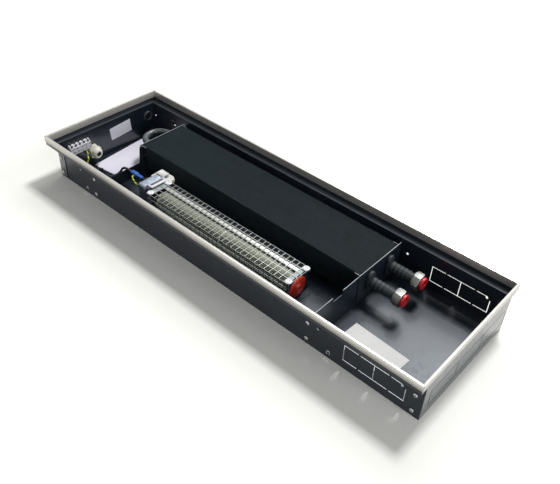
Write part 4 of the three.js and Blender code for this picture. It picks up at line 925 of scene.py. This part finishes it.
class TRENCH_OT_guard(Operator):
    """Makes the perforated guard, its clips and the sheets round the rotor"""

    bl_idname = "trench.guard"
    bl_label = "Fan guard"

    def execute(self, context):
        sizes = context.scene.trench_fan
        sheet = zinc("guard_zinc", sizes.guard)
        piece("perforated_guard", self.guard(sizes), sheet, "fan_guard", smooth=25)
        casing = context.scene.trench_casing
        paint, worn = casing.paint, casing.paint_worn
        black = moulded("scroll_coating", tone(12, 15, 20), 0.6, 0.1)
        black.surface.inputs["Specular IOR Level"].default_value = 0.15
        dress(black, "fan_scroll", "fan_tongue")
        low, high = node_box("fan_tongue")
        edge = low.y - LIP_REACH
        flange = block((low.x, edge, high.z - 0.8), (high.x, low.y + 1, high.z), 0.15)
        put("tongue_flange", flange, black)
        strip = block((low.x, edge, high.z), (high.x, edge + LIP_WIDTH, high.z + 0.7), 0.15)
        add(strip, block((low.x, edge - 0.8, high.z - 2), (high.x, edge, high.z + 0.7), 0.2))
        bright = brushed("lip_aluminium", tone(212, 213, 207), 0, 0.4, 0.5)
        put("tongue_lip", strip, bright)
        dress(plate_paint("shield_paint", paint, worn, "fan_shield_right"),
              "fan_shield_left", "fan_shield_right")
        white = moulded("clip_nylon", sizes.clip, 0.3, 0.05)
        for place in ("near_left", "far_left", "near_right", "far_right"):
            node = f"guard_clip_{place}"
            low, high = node_box(node)
            centre = ((low.x + high.x) / 2 if "left" in place else low.x + 7,
                      (low.y + high.y) / 2, 0)
            reach = (high.y - low.y) / 2
            base = high.z - 1.6
            profile = rounded([
                (low.z, 0), (low.z, 1.6), (base, 2), (base, reach), (base + 0.7, reach),
                (high.z, reach - 2.2), (high.z, 3.4), (high.z - 0.7, 2.8), (high.z - 0.7, 0)],
                0.3)
            piece(f"clip_{place}", turned(profile, centre, 40, "Z"), white, node)
        return {"FINISHED"}

    @staticmethod
    def guard(sizes):
        """A sheet of square holes with solid corners, which hangs down on both sides."""
        low, high = node_box("fan_guard")
        pitch = sizes.guard_pitch / MM
        bar = sizes.guard_bar / MM
        columns = round((high.x - low.x) / pitch)
        rows = round((high.y - low.y) / pitch)
        span, x = high.x - low.x, (low.x + high.x) / 2
        part = grid(columns, rows, span, high.y - low.y, shift(x, (low.y + high.y) / 2, high.z))
        add(part, grid(columns, 2, span, 2 * pitch,
                       shift(x, low.y, high.z - pitch) @ turn(math.pi / 2, "X")))
        bmesh.ops.remove_doubles(part, verts=part.verts, dist=0.01)
        open_cells = []
        for face in part.faces:
            spot = face.calc_center_median()
            at_end = not low.x + pitch < spot.x < high.x - pitch
            at_side = not low.y + pitch < spot.y < high.y - pitch
            if spot.z < high.z - 0.01 or not (at_end and at_side):
                open_cells.append(face)
        bmesh.ops.inset_individual(part, faces=open_cells, thickness=bar / 2, depth=0,
                                   use_even_offset=True)
        bmesh.ops.delete(part, geom=open_cells, context="FACES")
        for y, below in ((low.y, high.z - 2 * pitch), (high.y, high.z)):
            edges = [edge for edge in part.edges if edge.is_boundary
                     and all(abs(v.co.y - y) < 0.01 and abs(v.co.z - below) < 0.01
                             for v in edge.verts)]
            drawn(part, edges, (0, 0, -GUARD_SKIRT))
        if max(closed(part).faces, key=lambda f: f.calc_center_median().z).normal.z < 0:
            bmesh.ops.reverse_faces(part, faces=part.faces)
        thicken(part, GUARD_SHEET)
        return part


# ---- Motor --------------------------------------------------------------------------------


class TRENCH_OT_motor(Operator):
    """Makes the fan motor's core, winding, bobbin, strap, carrier and rotor"""

    bl_idname = "trench.motor"
    bl_label = "Motor"

    def execute(self, context):
        sizes = context.scene.trench_wiring
        core = laminated("core_lacquer", sizes.core)
        piece("core_stack", cad_copy("motor_core", 0.5), core, "motor_core")
        tape = winding_tape("winding_tape", sizes.tape)
        wound = slab("motor_coil", *WINDING_HEIGHTS)
        bmesh.ops.subdivide_edges(wound, edges=[
            edge for edge in wound.edges
            if abs(edge.verts[0].co.z - edge.verts[1].co.z) > 20], cuts=9, use_grid_fill=True)
        middle = Vector((*WINDING_MIDDLE, 0))
        bottom, top = WINDING_HEIGHTS
        for vert in wound.verts:
            t = (vert.co.z - bottom) / (top - bottom)
            outward = Vector((vert.co.x, vert.co.y, 0)) - middle
            if max(abs(outward.x) - 14, abs(outward.y) - 12) > 0:
                vert.co -= outward.normalized() * 1.1 * (2 * t - 1) ** 4
        piece("winding", wound, tape, "motor_coil")
        nylon = moulded("bobbin_nylon", tone(228, 226, 222), 0.36, 0.06)
        low, high = node_box("motor_coil")
        bobbin = slab("motor_coil", top, high.z + 1)
        add(bobbin, slab("motor_coil", low.z - 1, bottom))
        round_edges(bobbin, sharp_edges(bobbin, 30), 0.35)
        piece("winding_bobbin", bobbin, nylon, "motor_coil")
        steel = brushed("strap_steel", sizes.steel, 1)
        piece("end_strap", cad_copy("motor_strap", 0.5), steel, "motor_strap")
        dress(brushed("rotor_steel", sizes.steel, 0, 0.3), "motor_rotor")
        white = moulded("carrier_nylon", sizes.white, 0.4, 0.06)
        piece("motor_bracket", cad_copy("motor_carrier", 0.4), white, "motor_carrier")
        low, high = (Vector(corner) for corner in CARRIER_WINDOW)
        insert = block(low + Vector((0.2, 0.2, 0)), high - Vector((0.2, 0.2, 0.5)), 0.2)
        ribs = 15
        for i in range(ribs):
            y = low.y + 1.5 + (high.y - low.y - 3) * i / (ribs - 1)
            add(insert, block((low.x + 0.5, y - 0.45, high.z - 0.7),
                              (high.x - 0.5, y + 0.45, high.z), 0.15))
        grey = brushed("insert_steel", tone(104, 112, 116), 0, 0.4, 0.7)
        put("carrier_insert", insert, grey)
        return {"FINISHED"}


# ---- Wiring end ---------------------------------------------------------------------------


class TRENCH_OT_terminals(Operator):
    """Makes the terminal block, the cable gland and the earth stud"""

    bl_idname = "trench.terminals"
    bl_label = "Terminals and gland"

    def execute(self, context):
        sizes = context.scene.trench_wiring
        white = moulded("terminal_nylon", sizes.white, 0.36, 0.08)
        steel = plated("terminal_steel", sizes.steel, 0.26)
        housing, levers = self.terminal_block()
        piece("terminal_housing", housing, white, "terminal_block")
        black = moulded("lever_nylon", tone(34, 34, 42), 0.35, 0.1)
        put("terminal_levers", levers, black)
        grey = moulded("gland_nylon", sizes.grey, 0.38, 0.07)
        piece("gland_thread", cad_copy("gland_body", 0.4), grey, "gland_body")
        piece("gland_dome", self.dome(), grey, "gland_nut", "gland_nut")
        face = node_box("gland_nut")[1].x
        seal = [(face - 5, 5.8), (face - 2.2, 5.8), (face - 1.6, 4), (face - 3, 2.9),
                (face - 5, 2.9)]
        rubber = moulded("seal_rubber", tone(26, 26, 30), 0.5, 0.1)
        put("gland_seal", ring(seal, 0.6, GLAND_AXIS, 40), rubber, "gland_nut")
        dress(steel, "earth_stud")
        return {"FINISHED"}

    @staticmethod
    def terminal_block():
        """A white strip with two rows of wire openings, and the black levers on top of it."""
        low, high = node_box("terminal_block")
        poles, rows = 5, 2
        front, shelf = high.x - 1.5, high.z - 6
        body = block((low.x, low.y, low.z), (front, high.y, shelf))
        pitch = (high.y - low.y) / poles
        rise = (shelf - low.z) / rows
        for i in range(1, poles):
            sliced(body, (0, low.y + i * pitch, 0), (0, 1, 0))
        sliced(body, (0, 0, low.z + rise), (0, 0, 1))
        cells = [face for face in body.faces if face.normal.x > 0.9]
        bmesh.ops.inset_individual(body, faces=cells, thickness=1.5, depth=0)
        bmesh.ops.inset_individual(body, faces=cells, thickness=0.3, depth=-5)
        round_edges(body, [e for e in sharp_edges(body, 60) if e.is_convex], 0.4)
        add(body, block((low.x + 1, low.y + 0.4, shelf - 0.3),
                        (front - 5, high.y - 0.4, high.z - 2), 0.5))
        levers = bmesh.new()
        for i in range(poles):
            y = low.y + (i + 0.5) * pitch
            add(levers, block((front - 4.4, y - 1.5, shelf - 0.4),
                              (front - 1.2, y + 1.5, high.z - 1), 0.6))
            add(levers, turned(rounded([(low.x + 3, 0), (low.x + 3, 1.9), (low.x + 6, 1.9),
                                        (low.x + 6, 0)], 0.3), (0, y, high.z - 2), 16))
        return body, levers

    @staticmethod
    def dome():
        """The gland's nut: a hexagon that ends in a rounded cap."""
        low, high = node_box("gland_nut")
        bore, reach = 5.6, (high.z - low.z) / 2
        part = ring([
            (low.x + 9, 11.4), (low.x + 9, reach - 0.4), (high.x - 6.5, reach - 0.9),
            (high.x - 2.5, reach - 3), (high.x, reach - 6), (high.x, bore + 0.6),
            (high.x - 0.8, bore), (low.x + 12.2, bore), (low.x + 12.2, 11.4)],
            0.8, GLAND_AXIS, 64)
        hexagon = bmesh.new()
        place = shift(low.x, *GLAND_AXIS[1:]) @ turn(math.pi / 2, "X") @ turn(math.pi / 2, "Y")
        bmesh.ops.create_circle(hexagon, segments=6, radius=2 * reach / math.sqrt(3), matrix=place)
        drawn(hexagon, list(hexagon.edges), (9.5, 0, 0))
        thicken(closed(hexagon), 2)
        round_edges(hexagon, [e for e in hexagon.edges if e.calc_face_angle(0) > 0.5], 0.6, 3)
        add(part, hexagon)
        return part


class TRENCH_OT_wires(Operator):
    """Makes the motor's and supply leads, the earth wire and the blue connector"""

    bl_idname = "trench.wires"
    bl_label = "Wires"

    def execute(self, context):
        sizes = context.scene.trench_wiring
        black = moulded("cable_sheath", sizes.cable, 0.4, 0.1)
        for name, route in (("motor_lead", MOTOR_ROUTE), ("supply_lead", SUPPLY_ROUTE)):
            piece(f"{name}_sheath", tube(smooth_path(route), LEAD_R), black, name)
        striped = two_tone_wire("earth_insulation")
        for name, route, twist in (("earth_wire", EARTH_ROUTE, 6), ("earth_link", LINK_ROUTE, 7)):
            part = tube(smooth_path(route), EARTH_R, twist=twist)
            piece(f"{name}_insulation", part, striped, name)
        blue = moulded("connector_plastic", sizes.blue, 0.28, 0.1)
        low, high = node_box("lead_connector")
        part = block(low, (CONNECTOR_STEP, high.y, high.z), 1.1, 3)
        add(part, block((CONNECTOR_STEP - 1, low.y + 1, low.z + 1),
                        (high.x, high.y - 1, high.z - 1), 1, 3))
        for x in CONNECTOR_RIBS:
            add(part, block((x - 0.7, low.y + 1.5, high.z - 0.6),
                            (x + 0.7, high.y - 1.5, high.z + 0.6), 0.3))
        piece("lead_plug", part, blue, "lead_connector")
        return {"FINISHED"}


class TRENCH_OT_papers(Operator):
    """Makes the leaflet, the blank label and the blank sheet"""

    bl_idname = "trench.papers"
    bl_label = "Papers"

    def execute(self, context):
        stock = paper_stock("paper_stock", context.scene.trench_wiring.paper)
        piece("folded_leaflet", self.leaflet(), stock, "leaflet", smooth=50)
        label = moulded("label_film", tone(226, 228, 236), 0.3, 0.05)
        dress(label, "rating_label")
        dress(paper_stock("sheet_stock", tone(238, 238, 236)), "floor_sheet")
        return {"FINISHED"}

    @staticmethod
    def leaflet():
        """Three folded sheets that lie on each other, each a little shorter and more curled."""
        floor = node_box("leaflet")[0].z
        stack = bmesh.new()
        middle = Vector((LEAFLET_SHORT / 2, LEAFLET_LONG / 2, 0))
        for layer, (inset, swing, lift) in enumerate(((0, 0, 0), (1.5, 0.008, 0.35),
                                                      (3.5, -0.006, 0.7))):
            part = grid(30, 54, LEAFLET_SHORT - 2 * inset, LEAFLET_LONG - 2 * inset,
                        shift(*middle))
            for vert in part.verts:
                x, y = vert.co.x, vert.co.y
                wave = 0.3 * math.sin(0.09 * y + 0.03 * x + layer) * math.sin(0.05 * x)
                curl = 0.4 * max(0, y / LEAFLET_LONG - 0.6) * layer
                vert.co.z = floor + 0.35 + along(LEAFLET_PATH, x) + wave + lift + curl
                ripple = max(0, math.sin(0.11 * y + layer) + 0.5 * math.sin(0.31 * y))
                vert.co.x -= 2.6 * ripple * max(0, x / LEAFLET_SHORT - 0.6)
                ripple = max(0, math.sin(0.17 * x + layer) + 0.6 * math.sin(0.37 * x))
                vert.co.y += 3 * ripple * max(0, 0.3 - y / LEAFLET_LONG)
            thicken(part, PAPER)
            spin = shift(*middle) @ turn(swing, "Z") @ shift(*-middle)
            add(stack, moved(closed(part), spin))
        return moved(stack, shift(*LEAFLET_CORNER, 0) @ turn(LEAFLET_TURN, "Z"))


def along(table, x):
    """Reads a height from a table of (x, height) pairs."""
    for (x0, a), (x1, b) in zip(table, table[1:]):
        if x <= x1:
            return a + (b - a) * max(0, (x - x0) / (x1 - x0))
    return table[-1][1]


class TRENCH_OT_screws(Operator):
    """Makes the cross-recessed screws of the long walls"""

    bl_idname = "trench.screws"
    bl_label = "Screws"

    def execute(self, context):
        steel = plated("screw_zinc", context.scene.trench_wiring.steel, 0.24)
        for node in sorted(frame["nodes"]):
            if node.startswith("screw_"):
                low, high = node_box(node)
                centre = Vector(((low.x + high.x) / 2, 0, (low.z + high.z) / 2))
                piece(f"pan_{node}", self.screw(low, high, centre), steel, node)
        rubber = moulded("grommet_rubber", tone(30, 32, 38), 0.4, 0.1)
        rings = moved(self.grommet(12.5, 8.2),
                      shift(node_box("rating_label")[0].x, *END_GROMMET))
        x, z = SIDE_GROMMET
        add(rings, moved(self.grommet(7, 3.6), shift(x, node_box("cross_plate_left")[1].y, z)
                         @ turn(-math.pi / 2, "Z")))
        put("wall_grommets", rings, rubber)
        return {"FINISHED"}

    @staticmethod
    def grommet(reach, bore):
        """A rubber ring whose back lies at zero and which stands out along X."""
        section = [(0, bore), (0, reach), (1.2, reach), (3.2, reach - 1.6),
                   (3.6, bore + 1.2), (2.4, bore)]
        return ring(section, 0.6, (0, 0, 0), 40)

    @staticmethod
    def screw(low, high, centre):
        """A flat head with a cross recess, turned a little from screw to screw."""
        head, shank, arm, slot = 4, 1.8, 2, 0.5
        profile = rounded([(low.y, 0), (low.y, head - 1.6), (low.y + 0.9, head),
                           (low.y + 2, head), (low.y + 2, shank), (high.y, shank), (high.y, 0)],
                          0.5)
        part = turned(profile, (0, 0, 0), 32, "Y")
        for axis, at in ((0, slot), (0, -slot), (2, slot), (2, -slot), (0, arm), (0, -arm),
                         (2, arm), (2, -arm)):
            normal = [0, 0, 0]
            place = [0, 0, 0]
            normal[axis], place[axis] = 1, at
            sliced(part, place, normal)
        recess = []
        for face in part.faces:
            spot = face.calc_center_median()
            narrow, wide = sorted((abs(spot.x), abs(spot.z)))
            if face.normal.y < -0.6 and spot.y < low.y + 1.2 and narrow < slot and wide < arm:
                recess.append(face)
        bmesh.ops.inset_region(part, faces=recess, thickness=0.08, depth=-0.9,
                               use_even_offset=True)
        return moved(part, shift(*centre) @ turn(math.radians(17 + centre.x), "Y"))


# ---- Studio -------------------------------------------------------------------------------


class TRENCH_OT_studio(Operator):
    """Makes the floor, the lights, the camera and the view settings"""

    bl_idname = "trench.studio"
    bl_label = "Studio"

    def execute(self, context):
        sizes = context.scene.trench_studio
        self.floor()
        self.sky(context, sizes)
        self.lamp("key_softbox", sizes.key_place, sizes.key_size, sizes.key)
        self.lamp("back_softbox", BACK_PLACE, BACK_SIZE, sizes.back)
        self.lamp("side_softbox", SIDE_PLACE, SIDE_SIZE, sizes.fill)
        self.camera(context, sizes)
        context.scene.view_settings.view_transform = "Standard"
        return {"FINISHED"}

    @staticmethod
    def floor():
        """White paper under the heater, which glows more away from it."""
        mesh = mesh_of("studio_floor", grid(8, 8, FLOOR_SIDE, FLOOR_SIDE, Matrix()))
        finish = Finish("floor_paper", Roughness=0.9)
        finish.surface.inputs["Specular IOR Level"].default_value = 0.1
        finish.coat((finish.noise(3, 3) * 0.4, tone(250, 250, 243), tone(246, 246, 246)))
        x, y, _ = finish.split()
        half_length, half_width, _ = CAD_BOX[1]
        away = (x.absolute() - half_length).larger(y.absolute() - half_width)
        paler = away.above(0.22, 0.15).spread(0.06, 0.8)
        glow = finish.node("ShaderNodeEmission", values={
            "Color": (1, 1, 1, 1), "Strength": finish.seen() * paler})
        both = finish.node("ShaderNodeAddShader", values={
            0: Tap(finish, finish.surface.outputs[0]), 1: glow})
        finish.tree.links.new(both.socket, finish.tree.nodes["Material Output"].inputs[0])
        mesh.materials.append(finish.material)
        linked("studio_floor", mesh)

    @staticmethod
    def sky(context, sizes):
        """A sky that looks white but lights the heater only faintly."""
        world = bpy.data.worlds.new("studio_sky")
        lit = Tree(world)
        ground = lit.tree.nodes["Background"]
        ground.inputs["Color"].default_value = (1, 1, 1, 1)
        level = lit.node("ShaderNodeMapRange", values={
            "Value": lit.seen(), "To Min": sizes.sky, "To Max": 1.0})
        lit.tree.links.new(level.socket, ground.inputs["Strength"])
        context.scene.world = world

    @staticmethod
    def lamp(name, place, size, power):
        """A square softbox that faces the origin."""
        data = bpy.data.lights.new(name, "AREA")
        data.shape = "RECTANGLE"
        data.size, data.size_y = size, size
        data.energy = power
        made = linked(name, data)
        made.location = place
        made.rotation_euler = (-Vector(place)).to_track_quat("-Z", "Y").to_euler()

    @staticmethod
    def camera(context, sizes):
        """A camera that looks along its heading and dip, and rolls about that line."""
        heading, dip, roll = sizes.camera_turn
        ahead = Vector((math.sin(heading) * math.cos(dip), math.cos(heading) * math.cos(dip),
                        -math.sin(dip)))
        level = Vector((math.cos(heading), -math.sin(heading), 0))
        upright = level.cross(ahead)
        right = math.cos(roll) * level + math.sin(roll) * upright
        up = math.cos(roll) * upright - math.sin(roll) * level
        data = bpy.data.cameras.new("camera")
        data.sensor_width = 36
        data.lens = sizes.lens
        data.clip_start, data.clip_end = 0.05, 60
        made = linked("camera", data)
        made.matrix_world = shift(*sizes.camera_place) @ Matrix(
            (right, up, -ahead)).transposed().to_4x4()
        context.scene.camera = made


# ---- Add-on -------------------------------------------------------------------------------

PARTS = (TRENCH_OT_casing, TRENCH_OT_edge_frame, TRENCH_OT_fins, TRENCH_OT_connections,
         TRENCH_OT_rotor, TRENCH_OT_guard, TRENCH_OT_motor, TRENCH_OT_terminals,
         TRENCH_OT_wires, TRENCH_OT_papers, TRENCH_OT_screws, TRENCH_OT_studio)
SETTINGS = {"trench_casing": TRENCH_PG_casing, "trench_exchanger": TRENCH_PG_exchanger,
            "trench_fan": TRENCH_PG_fan, "trench_wiring": TRENCH_PG_wiring,
            "trench_studio": TRENCH_PG_studio}


class TRENCH_PT_panel(Panel):
    """Lists the heater's sizes, colours and pieces"""

    bl_idname = "TRENCH_PT_panel"
    bl_label = "Trench heater"
    bl_space_type = "VIEW_3D"
    bl_region_type = "UI"
    bl_category = "Trench Heater"

    def draw(self, context):
        for operator in PARTS:
            self.layout.operator(operator.bl_idname)
        for name, group in SETTINGS.items():
            box = self.layout.box()
            for key in group.__annotations__:
                box.prop(getattr(context.scene, name), key)


def register():
    for group in SETTINGS.values():
        bpy.utils.register_class(group)
    for operator in PARTS:
        bpy.utils.register_class(operator)
    bpy.utils.register_class(TRENCH_PT_panel)
    for name, group in SETTINGS.items():
        setattr(bpy.types.Scene, name, PointerProperty(type=group))


def unregister():
    for name in SETTINGS:
        delattr(bpy.types.Scene, name)
    bpy.utils.unregister_class(TRENCH_PT_panel)
    for operator in reversed(PARTS):
        bpy.utils.unregister_class(operator)
    for group in reversed(list(SETTINGS.values())):
        bpy.utils.unregister_class(group)


def main():
    for leftover in ("Cube", "Light", "Camera"):
        if leftover in bpy.data.objects:
            bpy.data.objects.remove(bpy.data.objects[leftover])
    register()
    for operator in PARTS:
        area, name = operator.bl_idname.split(".")
        getattr(getattr(bpy.ops, area), name)()


if __name__ == "__main__":
    main()
